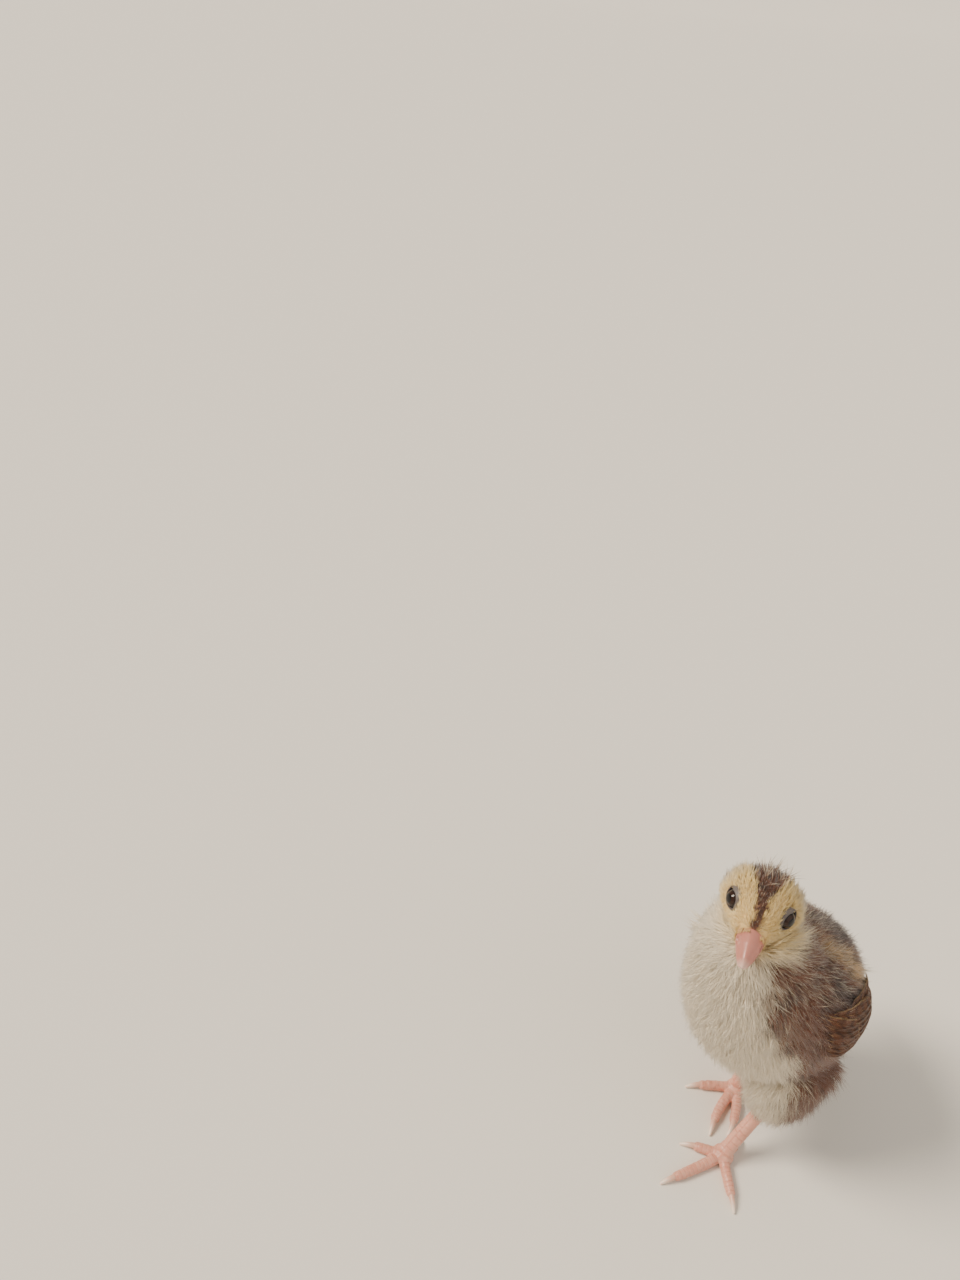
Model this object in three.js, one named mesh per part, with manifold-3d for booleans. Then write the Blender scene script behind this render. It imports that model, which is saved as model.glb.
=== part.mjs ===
// Coturnix quail chick, a few days old, standing with its head turned to its left.
// Millimetres, +Z up. The chick faces -Y and its left side is +X.
// Lengths include the down. The origin ends up on the floor, under the middle of the whole bird.

import * as THREE from 'three';
import { mergeVertices } from 'three/addons/utils/BufferGeometryUtils.js';
import Module from 'manifold-3d';

const wasm = await Module();
wasm.setup();

// Driving dimensions
const GAP = 0.3;
const TORSO_HALF_WIDTH = 14.2;
const BACK_TURN = 11;
const HEAD_HALF_WIDTH = 6.4;
const HEAD_CENTRE = new THREE.Vector3(-2.5, -5.3, 55.1);
const HEAD_TURN = 40;
const HEAD_NOD = -5;
const EYE_RADIUS = 2.0;
const EYE_APART = 6.2;
const EYE_FORWARD = 0.95;
const EYE_UP = 1.15;
const BILL_LENGTH = 5.8;
const BILL_WIDTH = 4.6;
const SHANK_HALF_WIDTH = 1.15;
const TOE_HALF_WIDTH = 0.85;
const TOE_AXIS_HEIGHT = 0.75;
const CLAW_LENGTH = 2.6;
const SCUTE_LEAN = 0.5;
const SHANK_SCUTE_HEIGHT = 0.16;
const TOE_SCUTE_HEIGHT = 0.13;
const VANE_THICKNESS = 0.52;

const LEFT = 1;
const RIGHT = -1;
const SIDES = [{ name: 'left', sign: LEFT }, { name: 'right', sign: RIGHT }];

// Feet. A turn is in degrees from straight ahead towards the chick's left.
const FEET = {
  left: {
    at: new THREE.Vector3(8.8, -5.8, 0),
    ankle: new THREE.Vector3(7.6, 4.6, 15.4),
    hip: new THREE.Vector3(7.5, 5.6, 26.1),
    toes: {
      inner: { turn: -43, bend: 2, length: 5.2 },
      middle: { turn: 2, bend: -3, length: 10.6 },
      outer: { turn: 66, bend: 0, length: 7.2 },
      hallux: { turn: -172, bend: 0, length: 3.4 },
    },
  },
  right: {
    at: new THREE.Vector3(-0.4, 4.2, 0),
    ankle: new THREE.Vector3(-6.6, 11.2, 15.0),
    hip: new THREE.Vector3(-8.7, 8.6, 26.1),
    toes: {
      inner: { turn: 60, bend: -12, length: 7.1 },
      middle: { turn: 13, bend: 12, length: 8.8 },
      outer: { turn: -34, bend: 6, length: 7.2 },
      hallux: { turn: -155, bend: 0, length: 3.6 },
    },
  },
};

// Colours
const CREAM = '#e6dcc4';
const FACE_YELLOW = '#e3cf97';
const BROWN_DOWN = '#7d5636';
const WING_BROWN = '#8a6242';
const FLESH_PINK = '#dca48c';
const CLAW_HORN = '#cfae98';
const BILL_PINK = '#d79d8c';
const EYE_DARK = '#1c1210';

const group = new THREE.Group();
const radians = THREE.MathUtils.degToRad;

function vector(x, y, z) {
  return new THREE.Vector3(x, y, z);
}

// Solids: a closed three.js geometry with merged vertices becomes one that can be joined and cut.
function solid(geometry) {
  const bare = geometry.clone();
  bare.deleteAttribute('normal');
  bare.deleteAttribute('uv');
  const merged = mergeVertices(bare, 1e-4);
  return new wasm.Manifold(new wasm.Mesh({
    numProp: 3,
    vertProperties: new Float32Array(merged.attributes.position.array),
    triVerts: new Uint32Array(merged.index.array),
  }));
}

function join(pieces) {
  return pieces.reduce((whole, piece) => whole.add(piece));
}

function largest(body) {
  return body.decompose().reduce((best, piece) => (piece.volume() > best.volume() ? piece : best));
}

function addNode(name, body, colour, roughness) {
  const { vertProperties, triVerts, numProp } = largest(body).getMesh();
  const position = new Float32Array((vertProperties.length / numProp) * 3);
  for (let i = 0; i < position.length / 3; i += 1) {
    position.set(vertProperties.subarray(i * numProp, i * numProp + 3), i * 3);
  }
  const geometry = new THREE.BufferGeometry();
  geometry.setAttribute('position', new THREE.BufferAttribute(position, 3));
  geometry.setIndex(new THREE.BufferAttribute(new Uint32Array(triVerts), 1));
  geometry.computeVertexNormals();
  const material = new THREE.MeshStandardMaterial({ color: colour, roughness, metalness: 0 });
  const mesh = new THREE.Mesh(geometry, material);
  mesh.name = name;
  group.add(mesh);
}

// A loft: a sphere whose rings are carried along a spine, each with its own width,
// dorsal height and ventral height. Its two ends close in rounded caps.
// Scutes are steps of its surface on one side, each with its raised edge towards one end.
class Loft {
  constructor({ stations, capLength, sideways = vector(1, 0, 0), scutes = null }) {
    this.spine = new THREE.CatmullRomCurve3(stations.map((s) => s.at));
    this.radii = new THREE.CatmullRomCurve3(stations.map((s) => vector(s.wide, s.dorsal, s.ventral)));
    this.capLength = capLength;
    this.sideways = sideways;
    this.scutes = scutes;
  }

  // Every second ring is drawn towards the one after it, so that each pair makes one scute.
  ringShare(ring, rings) {
    return (ring + (this.scutes && ring % 2 ? SCUTE_LEAN : 0)) / rings;
  }

  scuteHeight(ring, rings, turn) {
    if (!this.scutes || ring < 2 || ring > rings - 2) {
      return 0;
    }
    const raised = ring % 2 === (this.scutes.edge === 'far' ? 1 : 0);
    const facing = Math.max(0, Math.cos(turn - this.scutes.turn));
    return raised ? this.scutes.height * Math.sqrt(facing) : 0;
  }

  cap(t) {
    const depth = Math.min(t, 1 - t) / this.capLength;
    return depth >= 1 ? 1 : Math.sqrt(Math.max(0, 1 - (1 - depth) ** 2));
  }

  frame(t) {
    const along = this.spine.getTangent(t);
    const side = this.sideways.clone().addScaledVector(along, -this.sideways.dot(along)).normalize();
    return { side, dorsal: along.clone().cross(side) };
  }

  // The point at t along the spine and turned from the left side towards the back, grown outwards.
  point(t, turn, grow = 0) {
    const centre = this.spine.getPoint(t);
    const { side, dorsal } = this.frame(t);
    const radius = this.radii.getPoint(t);
    const cap = this.cap(t);
    const across = Math.cos(turn) * (radius.x * cap + grow);
    const height = Math.sin(turn) > 0 ? radius.y : radius.z;
    return centre.addScaledVector(side, across).addScaledVector(dorsal, Math.sin(turn) * (height * cap + grow));
  }

  solid(sides, rings, grow = 0) {
    const geometry = new THREE.SphereGeometry(1, sides, rings);
    const position = geometry.attributes.position;
    const ends = [-1, 1].map((end) => this.spine.getTangent(end < 0 ? 0 : 1).multiplyScalar(end * grow));
    for (let i = 0; i < position.count; i += 1) {
      const pole = THREE.MathUtils.clamp(position.getY(i), -1, 1);
      const ring = Math.round((Math.acos(-pole) / Math.PI) * rings);
      const t = this.ringShare(ring, rings);
      const turn = Math.atan2(-position.getZ(i), position.getX(i));
      const atPole = ring === 0 || ring === rings;
      const place = atPole
        ? this.spine.getPoint(ring / rings).add(ends[ring > 0 ? 1 : 0])
        : this.point(t, turn, grow + this.scuteHeight(ring, rings, turn));
      position.setXYZ(i, place.x, place.y, place.z);
    }
    return solid(geometry);
  }
}

// Everything on the far side of a plane, as a box large enough for the whole bird.
function halfSpace(point, normal) {
  const size = 300;
  const geometry = new THREE.BoxGeometry(size, size, size);
  geometry.translate(0, 0, size / 2);
  geometry.applyQuaternion(new THREE.Quaternion().setFromUnitVectors(vector(0, 0, 1), normal.clone().normalize()));
  geometry.translate(point.x, point.y, point.z);
  return solid(geometry);
}

const ABOVE_FLOOR = halfSpace(vector(0, 0, 0), vector(0, 0, 1));

// Trunk and neck are one upright loft from the belly to the nape. Its rear is turned a little to
// the chick's right.
const backward = vector(-Math.sin(radians(BACK_TURN)), Math.cos(radians(BACK_TURN)), 0);
const sideways = vector(Math.cos(radians(BACK_TURN)), Math.sin(radians(BACK_TURN)), 0);

const body = new Loft({
  capLength: 0.16,
  sideways,
  stations: [
    { at: vector(-1.5, 4.6, 15.6), wide: 6.0, dorsal: 7.0, ventral: 6.0 },
    { at: vector(-1.5, 4.7, 20.1), wide: 11.2, dorsal: 12.0, ventral: 11.2 },
    { at: vector(-1.5, 4.3, 26.1), wide: 13.8, dorsal: 16.8, ventral: 14.4 },
    { at: vector(-1.3, 2.7, 32.1), wide: TORSO_HALF_WIDTH, dorsal: 16.8, ventral: 15.0 },
    { at: vector(-1.2, 0.1, 38.1), wide: 13.4, dorsal: 14.2, ventral: 13.9 },
    { at: vector(-1.6, -2.7, 44.1), wide: 11.1, dorsal: 10.2, ventral: 11.2 },
    { at: vector(-2.3, -4.4, 50.1), wide: 8.4, dorsal: 7.2, ventral: 8.0 },
    { at: vector(-2.9, -4.5, 55.1), wide: 6.4, dorsal: 5.0, ventral: 5.5 },
  ],
});
const NECK_ROOT_T = 0.66;
const bodySolid = body.solid(26, 22);
const clearOfBody = body.solid(26, 22, GAP);

// A point on the body's side, by millimetres back from the flank's middle line and up from the
// belly, on the chick's left or right
const GIRTH = 15;
const RISE = 40;

function onSide(sign, back, up, lift) {
  const turn = back / GIRTH;
  return body.point(up / RISE, sign === LEFT ? turn : Math.PI - turn, lift);
}

// Head frame: forward along the bill, up, and the chick's left
const headForward = vector(
  Math.sin(radians(HEAD_TURN)) * Math.cos(radians(HEAD_NOD)),
  -Math.cos(radians(HEAD_TURN)) * Math.cos(radians(HEAD_NOD)),
  Math.sin(radians(HEAD_NOD)),
);
const headLeft = vector(Math.cos(radians(HEAD_TURN)), Math.sin(radians(HEAD_TURN)), 0);
const headUp = headForward.clone().cross(headLeft);

function inHead(left, forward, up) {
  return HEAD_CENTRE.clone()
    .addScaledVector(headLeft, left)
    .addScaledVector(headForward, forward)
    .addScaledVector(headUp, up);
}

const skull = new Loft({
  capLength: 0.34,
  sideways: headLeft,
  stations: [
    { at: inHead(0, -6.0, -0.8), wide: 5.4, dorsal: 5.0, ventral: 4.8 },
    { at: inHead(0, -3.2, -0.6), wide: HEAD_HALF_WIDTH * 1.04, dorsal: 6.2, ventral: 5.8 },
    { at: inHead(0, -0.4, -0.4), wide: HEAD_HALF_WIDTH, dorsal: 6.4, ventral: 5.6 },
    { at: inHead(0, 3.0, -0.6), wide: 4.9, dorsal: 5.4, ventral: 4.6 },
    { at: inHead(0, 6.6, -1.2), wide: 3.1, dorsal: 2.6, ventral: 2.6 },
  ],
});

function eyeCentre(sign) {
  return inHead((sign * EYE_APART) / 2, EYE_FORWARD, EYE_UP);
}

function eyeball(sign, radius, sides = 16, rings = 10) {
  const centre = eyeCentre(sign);
  const geometry = new THREE.SphereGeometry(radius, sides, rings);
  geometry.translate(centre.x, centre.y, centre.z);
  return solid(geometry);
}

// The lids are a shell round the eyeball, open in front of the iris, with a rim round the opening.
const EYE_SOCKET_RADIUS = EYE_RADIUS + GAP + 0.05;
const LID_THICKNESS = 0.42;
const LID_OPENING = 1.3;
const LID_RIM = 0.26;
const EYE_FACING = 32;
const EYE_LIFT = 15;

function facing(sign) {
  return headLeft.clone()
    .multiplyScalar(sign * Math.cos(radians(EYE_FACING)))
    .addScaledVector(headForward, Math.sin(radians(EYE_FACING)))
    .multiplyScalar(Math.cos(radians(EYE_LIFT)))
    .addScaledVector(headUp, Math.sin(radians(EYE_LIFT)));
}

// Turn a geometry that faces +Z to look out of the head at one eye, at a distance from its centre
function atEye(geometry, sign, distance) {
  const outward = facing(sign);
  const across = headUp.clone().cross(outward).normalize();
  const high = outward.clone().cross(across);
  geometry.applyMatrix4(new THREE.Matrix4().makeBasis(across, high, outward));
  const centre = eyeCentre(sign).addScaledVector(outward, distance);
  geometry.translate(centre.x, centre.y, centre.z);
  return solid(geometry);
}

function lidRim(sign) {
  const outer = EYE_RADIUS + GAP + LID_THICKNESS;
  const geometry = new THREE.TorusGeometry(LID_OPENING + LID_RIM * 0.6, LID_RIM, 5, 16);
  return atEye(geometry, sign, Math.sqrt(outer ** 2 - LID_OPENING ** 2));
}

function lidOpening(sign) {
  const geometry = new THREE.CylinderGeometry(LID_OPENING, LID_OPENING * 0.8, EYE_RADIUS * 2, 16);
  geometry.rotateX(Math.PI / 2);
  return atEye(geometry, sign, EYE_RADIUS);
}

// Bill: two lofts meeting at the mouth line, the upper one longer and hooked down at its tip
const BILL_ROOT = 5.0;
const billUpper = new Loft({
  capLength: 0.08,
  sideways: headLeft,
  stations: [
    { at: inHead(0, BILL_ROOT, -0.7), wide: BILL_WIDTH / 2, dorsal: 2.0, ventral: 0.75 },
    { at: inHead(0, BILL_ROOT + BILL_LENGTH * 0.45, -0.75), wide: 1.8, dorsal: 1.5, ventral: 0.7 },
    { at: inHead(0, BILL_ROOT + BILL_LENGTH * 0.8, -0.95), wide: 1.15, dorsal: 0.95, ventral: 0.55 },
    { at: inHead(0, BILL_ROOT + BILL_LENGTH, -1.45), wide: 0.5, dorsal: 0.4, ventral: 0.35 },
  ],
});
const billLower = new Loft({
  capLength: 0.1,
  sideways: headLeft,
  stations: [
    { at: inHead(0, BILL_ROOT, -1.8), wide: BILL_WIDTH / 2 - 0.25, dorsal: 1.2, ventral: 1.1 },
    { at: inHead(0, BILL_ROOT + BILL_LENGTH * 0.4, -1.75), wide: 1.5, dorsal: 1.1, ventral: 0.8 },
    { at: inHead(0, BILL_ROOT + BILL_LENGTH * 0.86, -1.85), wide: 0.65, dorsal: 0.8, ventral: 0.4 },
  ],
});

function nostril(sign) {
  const centre = inHead(sign * 1.55, BILL_ROOT + 2.2, -0.2);
  const geometry = new THREE.SphereGeometry(0.5, 8, 6);
  geometry.scale(1, 1, 0.6);
  geometry.translate(centre.x, centre.y, centre.z);
  return solid(geometry);
}

// Thigh with its coat of down, from the hip to the hem that the shank comes out of
function thigh(foot) {
  const hem = foot.ankle.clone().lerp(foot.at, 0.36);
  return new Loft({
    capLength: 0.26,
    stations: [
      { at: foot.hip, wide: 5.6, dorsal: 7.2, ventral: 8.6 },
      { at: foot.hip.clone().lerp(hem, 0.45), wide: 6.2, dorsal: 7.4, ventral: 8.2 },
      { at: hem, wide: 3.4, dorsal: 3.8, ventral: 4.0 },
    ],
  });
}

function shank(foot) {
  const top = foot.ankle;
  const bottom = foot.at.clone().setZ(1.5);
  const place = (t) => bottom.clone().lerp(top, t);
  return new Loft({
    capLength: 0.06,
    scutes: { turn: -Math.PI / 2, height: SHANK_SCUTE_HEIGHT, edge: 'near' },
    stations: [
      { at: place(0), wide: 1.5, dorsal: 1.45, ventral: 1.4 },
      { at: place(0.14), wide: SHANK_HALF_WIDTH, dorsal: 1.2, ventral: 1.2 },
      { at: place(0.5), wide: SHANK_HALF_WIDTH, dorsal: 1.15, ventral: 1.15 },
      { at: place(0.85), wide: SHANK_HALF_WIDTH * 1.05, dorsal: 1.3, ventral: 1.3 },
      { at: place(1), wide: 1.45, dorsal: 1.6, ventral: 1.6 },
    ],
  });
}

function footPad(foot, grow) {
  const geometry = new THREE.SphereGeometry(1, 12, 8);
  geometry.scale(1.9 + grow, 1.9 + grow, 1.25 + grow);
  geometry.translate(foot.at.x, foot.at.y, 1.05);
  return solid(geometry);
}

// A point on the floor plan at a distance from the foot, along the toe's turn and bend
function alongToe(foot, toe, distance, height) {
  const turn = radians(toe.turn + toe.bend * (distance / toe.length));
  return foot.at.clone().add(vector(Math.sin(turn) * distance, -Math.cos(turn) * distance, height));
}

function toeLoft(foot, toe) {
  const station = (share, wide, height) => ({
    at: alongToe(foot, toe, toe.length * share, TOE_AXIS_HEIGHT * height),
    wide: TOE_HALF_WIDTH * wide,
    dorsal: TOE_HALF_WIDTH * wide,
    ventral: TOE_HALF_WIDTH * wide,
  });
  const side = vector(Math.cos(radians(toe.turn)), Math.sin(radians(toe.turn)), 0);
  return new Loft({
    capLength: 0.12,
    sideways: side,
    scutes: { turn: Math.PI / 2, height: TOE_SCUTE_HEIGHT, edge: 'far' },
    stations: [
      station(0.12, 1.12, 1.25),
      station(0.35, 1.02, 1.0),
      station(0.68, 0.96, 1.0),
      station(1.0, 0.82, 1.0),
    ],
  });
}

function clawLoft(foot, toe, name) {
  const length = name === 'hallux' ? CLAW_LENGTH * 0.8 : CLAW_LENGTH;
  const station = (distance, wide, height) => ({
    at: alongToe(foot, toe, toe.length - 0.5 + distance, height),
    wide,
    dorsal: wide * 1.15,
    ventral: wide * 1.05,
  });
  const side = vector(Math.cos(radians(toe.turn)), Math.sin(radians(toe.turn)), 0);
  return new Loft({
    capLength: 0.06,
    sideways: side,
    stations: [
      station(0, 0.5, 0.9),
      station(length * 0.5, 0.42, 0.72),
      station(length + 0.3, 0.2, 0),
    ],
  });
}

// Seeded draws, so that every build gives the same feathers
let seed = 11;

function vary(amount) {
  seed = (seed * 16807) % 2147483647;
  return ((seed / 2147483647) * 2 - 1) * amount;
}

// Folded wing, a lens laid on the body's side from the shoulder back and down to its tip.
// Its places are millimetres along from the shoulder and across its middle line, up being positive.
const WING = {
  shoulder: { back: -3.0, up: 22.5 },
  tip: { back: 14.5, up: 12.0 },
  halfWidth: 4.8,
  stand: 0.9,
  sink: 1.8,
};
const WING_RUN = { back: WING.tip.back - WING.shoulder.back, up: WING.tip.up - WING.shoulder.up };
const WING_LENGTH = Math.hypot(WING_RUN.back, WING_RUN.up);

function wingTaper(along) {
  return THREE.MathUtils.lerp(1, 0.5, THREE.MathUtils.clamp(along / WING_LENGTH, 0, 1));
}

function onWing(sign, along, across, lift) {
  const back = WING.shoulder.back + (along * WING_RUN.back - across * WING_RUN.up) / WING_LENGTH;
  const up = WING.shoulder.up + (along * WING_RUN.up + across * WING_RUN.back) / WING_LENGTH;
  return onSide(sign, back, up, lift);
}

// How far the lens stands out from the body at a place on the wing
function wingStand(along, across) {
  const endwards = (along / WING_LENGTH) * 2 - 1;
  const edgewards = across / (WING.halfWidth * wingTaper(along));
  return WING.stand * Math.sqrt(Math.max(0, 1 - endwards ** 2 - edgewards ** 2));
}

function mapped(geometry, sign, place) {
  const position = geometry.attributes.position;
  for (let i = 0; i < position.count; i += 1) {
    const point = place(position.getX(i), position.getY(i), position.getZ(i));
    position.setXYZ(i, point.x, point.y, point.z);
  }
  return solid(sign === RIGHT ? flip(geometry) : geometry);
}

function wingLens(sign, grow) {
  return mapped(new THREE.SphereGeometry(1, 16, 10), sign, (x, y, z) => {
    const along = x * (WING_LENGTH / 2 + grow) + WING_LENGTH / 2;
    const across = y * (WING.halfWidth * wingTaper(along) + grow);
    return onWing(sign, along, across, z * ((z > 0 ? WING.stand : WING.sink) + grow));
  });
}

// The tiers of vanes: where their roots and tips lie along the wing, and how far they stand out
const WING_TIERS = [
  { count: 7, root: 7.5, low: 23.5, high: 17.5, spread: 0.84, halfWidth: 1.15, lift: 0.42 },
  { count: 6, root: 3.4, low: 13.5, high: 11.0, spread: 0.8, halfWidth: 1.2, lift: 0.62 },
  { count: 4, root: 0.4, low: 7.4, high: 6.4, spread: 0.66, halfWidth: 1.4, lift: 0.74 },
];
const WING_FAN = 0.72;
const WING_SHINGLE = 0.12;
const VANE_ROOT_WIDTH = 0.72;
const VANE_SWELL = 0.8;
const VANE_CLIMB = 2.2;

// One vane: a flat six-sided blade, widest past its middle, laid over the lens with its root in it
function wingVane(sign, tier, share) {
  const side = share * 2 - 1;
  const rootAcross = side * tier.spread * WING.halfWidth;
  const tip = THREE.MathUtils.lerp(tier.low, tier.high, share) + vary(0.5);
  const width = tier.halfWidth * (1 + vary(0.08));
  const shingle = side * WING_SHINGLE;
  return mapped(new THREE.SphereGeometry(1, 6, 4), sign, (x, y, z) => {
    const run = (1 - y) / 2;
    const along = THREE.MathUtils.lerp(tier.root, tip, run);
    const swell = THREE.MathUtils.lerp(VANE_ROOT_WIDTH, 1, Math.sin(run * Math.PI * VANE_SWELL));
    const across = rootAcross * THREE.MathUtils.lerp(1, WING_FAN, run) + x * width * swell;
    const rise = tier.lift * Math.min(1, run * VANE_CLIMB) + shingle;
    return onWing(sign, along, across, wingStand(along, across) + rise + (z * VANE_THICKNESS) / 2);
  });
}

function wingBody(sign) {
  const vanes = WING_TIERS.flatMap((tier) => Array.from(
    { length: tier.count },
    (_, i) => wingVane(sign, tier, i / (tier.count - 1)),
  ));
  return join(vanes).subtract(clearOfBody).add(wingLens(sign, 0));
}

// Turn a geometry's faces over
function flip(geometry) {
  const index = geometry.index.array;
  for (let i = 0; i < index.length; i += 3) {
    [index[i], index[i + 1]] = [index[i + 1], index[i]];
  }
  return geometry;
}

// Tail, a short soft wedge behind the rump with a fan of small vanes on it
const TAIL = { root: vector(-4.9, 18.6, 28.1), tip: vector(-6.7, 25.9, 24.3) };
const TAIL_VANES = 8;
const TAIL_FAN = 30;
const TAIL_VANE = {
  length: 7.4,
  halfWidth: 1.05,
  shorter: 1.2,
  apart: 2.2,
  above: 1.7,
  arch: 1.1,
  sunk: 0.6,
  lowered: 0.35,
};

const tail = new Loft({
  capLength: 0.2,
  stations: [
    { at: TAIL.tip, wide: 1.6, dorsal: 0.8, ventral: 0.8 },
    { at: TAIL.tip.clone().lerp(TAIL.root, 0.45), wide: 5.0, dorsal: 2.8, ventral: 2.6 },
    { at: TAIL.root, wide: 7.0, dorsal: 5.0, ventral: 4.4 },
  ],
});

function tailVane(share) {
  const outward = tail.spine.getTangent(0).negate();
  const leftward = vector(1, 0, 0).addScaledVector(outward, -outward.x).normalize();
  const upward = outward.clone().cross(leftward).negate();
  const fan = radians((share * 2 - 1) * TAIL_FAN);
  const heading = outward.clone().multiplyScalar(Math.cos(fan)).addScaledVector(leftward, Math.sin(fan));
  const across = heading.clone().cross(upward);
  const offCentre = Math.abs(share * 2 - 1);
  const length = TAIL_VANE.length + vary(0.4) - offCentre * TAIL_VANE.shorter;
  const start = TAIL.tip.clone().lerp(TAIL.root, 0.5)
    .addScaledVector(leftward, (share * 2 - 1) * TAIL_VANE.apart)
    .addScaledVector(upward, TAIL_VANE.above - offCentre * TAIL_VANE.arch);
  const geometry = new THREE.SphereGeometry(1, 6, 4);
  geometry.scale(TAIL_VANE.halfWidth, length / 2, VANE_THICKNESS / 2);
  geometry.applyMatrix4(new THREE.Matrix4().makeBasis(across, heading, across.clone().cross(heading)));
  const centre = start
    .addScaledVector(heading, length / 2 - TAIL_VANE.sunk)
    .addScaledVector(upward, -TAIL_VANE.lowered);
  geometry.translate(centre.x, centre.y, centre.z);
  return solid(geometry);
}

const tailVanes = Array.from({ length: TAIL_VANES }, (_, i) => tailVane(i / (TAIL_VANES - 1)));

// Assembly. Nodes are added in order, and each one is cut clear of all that came before it.
const taken = [];

function claim(name, body, grown, colour, roughness) {
  const cut = taken.reduce((rest, earlier) => rest.subtract(earlier), body);
  addNode(name, cut, colour, roughness);
  taken.push(grown);
}

for (const { name, sign } of SIDES) {
  claim(`eye_${name}`, eyeball(sign, EYE_RADIUS), eyeball(sign, EYE_SOCKET_RADIUS, 12, 8), EYE_DARK, 0.1);
}
const pierced = billUpper.solid(12, 10).subtract(nostril(LEFT)).subtract(nostril(RIGHT));
claim('bill_upper', pierced, billUpper.solid(12, 10, GAP), BILL_PINK, 0.45);
claim('bill_lower', billLower.solid(10, 8), billLower.solid(10, 8, GAP), BILL_PINK, 0.45);
const lidded = [LEFT, RIGHT].flatMap((sign) => [eyeball(sign, EYE_RADIUS + GAP + LID_THICKNESS), lidRim(sign)]);
const skullBody = join([skull.solid(22, 14), ...lidded])
  .subtract(lidOpening(LEFT))
  .subtract(lidOpening(RIGHT));
claim('head', skullBody, skull.solid(22, 14, GAP), FACE_YELLOW, 0.9);

for (const { name, sign } of SIDES) {
  const foot = FEET[name];
  const shankLoft = shank(foot);
  const shankBody = join([shankLoft.solid(8, 18), footPad(foot, 0)]).intersect(ABOVE_FLOOR);
  claim(`shank_${name}`, shankBody, join([shankLoft.solid(8, 18, GAP), footPad(foot, GAP)]), FLESH_PINK, 0.55);
  for (const toeName of ['middle', 'outer', 'inner', 'hallux']) {
    const toe = foot.toes[toeName];
    const claw = clawLoft(foot, toe, toeName);
    claim(`claw_${name}_${toeName}`, claw.solid(6, 6).intersect(ABOVE_FLOOR), claw.solid(6, 6, GAP), CLAW_HORN, 0.4);
  }
  for (const toeName of ['middle', 'outer', 'inner', 'hallux']) {
    const toeSolid = toeLoft(foot, foot.toes[toeName]);
    const rings = toeName === 'hallux' ? 8 : 14;
    const toeBody = toeSolid.solid(8, rings).intersect(ABOVE_FLOOR);
    claim(`toe_${name}_${toeName}`, toeBody, toeSolid.solid(8, rings, GAP), FLESH_PINK, 0.55);
  }
}
for (const { name, sign } of SIDES) {
  claim(`wing_${name}`, wingBody(sign), wingLens(sign, GAP), WING_BROWN, 0.85);
}
for (const { name } of SIDES) {
  const thighLoft = thigh(FEET[name]);
  claim(`thigh_${name}`, thighLoft.solid(16, 11), thighLoft.solid(16, 11, GAP), CREAM, 0.9);
}
claim('tail', join(tailVanes).subtract(clearOfBody).add(tail.solid(14, 8)), tail.solid(14, 8, GAP), BROWN_DOWN, 0.9);

const neckRoot = body.spine.getPoint(NECK_ROOT_T);
const neckDirection = body.spine.getTangent(NECK_ROOT_T);
const neckStart = neckRoot.clone().addScaledVector(neckDirection, GAP);
claim('neck', bodySolid.intersect(halfSpace(neckStart, neckDirection)), halfSpace(neckRoot, neckDirection), CREAM, 0.9);
claim('torso', bodySolid, bodySolid, BROWN_DOWN, 0.9);

// Put the origin on the floor under the middle of the bird
const box = new THREE.Box3().setFromObject(group);
const middle = box.getCenter(vector(0, 0, 0));
for (const mesh of group.children) {
  mesh.geometry.translate(-middle.x, -middle.y, -box.min.z);
}

export default group;
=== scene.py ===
"""Skin, down, feathers, bill, claws and eyes of a coturnix quail chick, in a plain studio."""

import math

import bmesh
import bpy
import numpy as np
from mathutils import Matrix, Vector
from mathutils.bvhtree import BVHTree


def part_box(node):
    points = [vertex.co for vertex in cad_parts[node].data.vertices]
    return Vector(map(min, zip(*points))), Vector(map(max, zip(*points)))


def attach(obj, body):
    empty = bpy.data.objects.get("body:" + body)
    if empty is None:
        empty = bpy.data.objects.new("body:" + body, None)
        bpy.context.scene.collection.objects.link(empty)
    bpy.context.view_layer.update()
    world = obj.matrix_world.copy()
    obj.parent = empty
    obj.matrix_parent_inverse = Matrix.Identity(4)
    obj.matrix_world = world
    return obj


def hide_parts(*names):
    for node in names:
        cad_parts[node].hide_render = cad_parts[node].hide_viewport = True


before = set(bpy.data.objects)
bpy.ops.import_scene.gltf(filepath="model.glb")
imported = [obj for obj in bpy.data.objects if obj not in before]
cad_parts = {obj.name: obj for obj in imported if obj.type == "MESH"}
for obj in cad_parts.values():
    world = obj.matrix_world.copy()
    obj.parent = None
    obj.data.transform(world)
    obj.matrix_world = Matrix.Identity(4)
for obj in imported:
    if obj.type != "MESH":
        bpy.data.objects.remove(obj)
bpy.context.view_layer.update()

# Driving dimensions, in millimetres and degrees. The chick faces -Y, its left side is +X and the
# floor is at z 0. Lofts reach out to the tips of the down, and the skin lies inside them.
MM = 0.001
TORSO_HALF_WIDTH = 14.2
BACK_TURN = 11
HEAD_HALF_WIDTH = 6.4
HEAD_CENTRE = (-2.5, -5.3, 55.1)
HEAD_TURN = 40
HEAD_NOD = -5
EYE_RADIUS = 2.0
EYE_APART = 6.2
EYE_FORWARD = 0.95
EYE_UP = 1.15
EYE_FACING = 32
EYE_LIFT = 15
BILL_LENGTH = 5.8
BILL_WIDTH = 4.6
BILL_ROOT = 5.0
SHANK_HALF_WIDTH = 1.15
TOE_HALF_WIDTH = 0.85
TOE_AXIS_HEIGHT = 0.75
CLAW_LENGTH = 2.6
CLAW_OVERLAP = 0.5
THIGH_HEM = 0.36

LEFT = 1
RIGHT = -1
SIDES = {"left": LEFT, "right": RIGHT}

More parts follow.
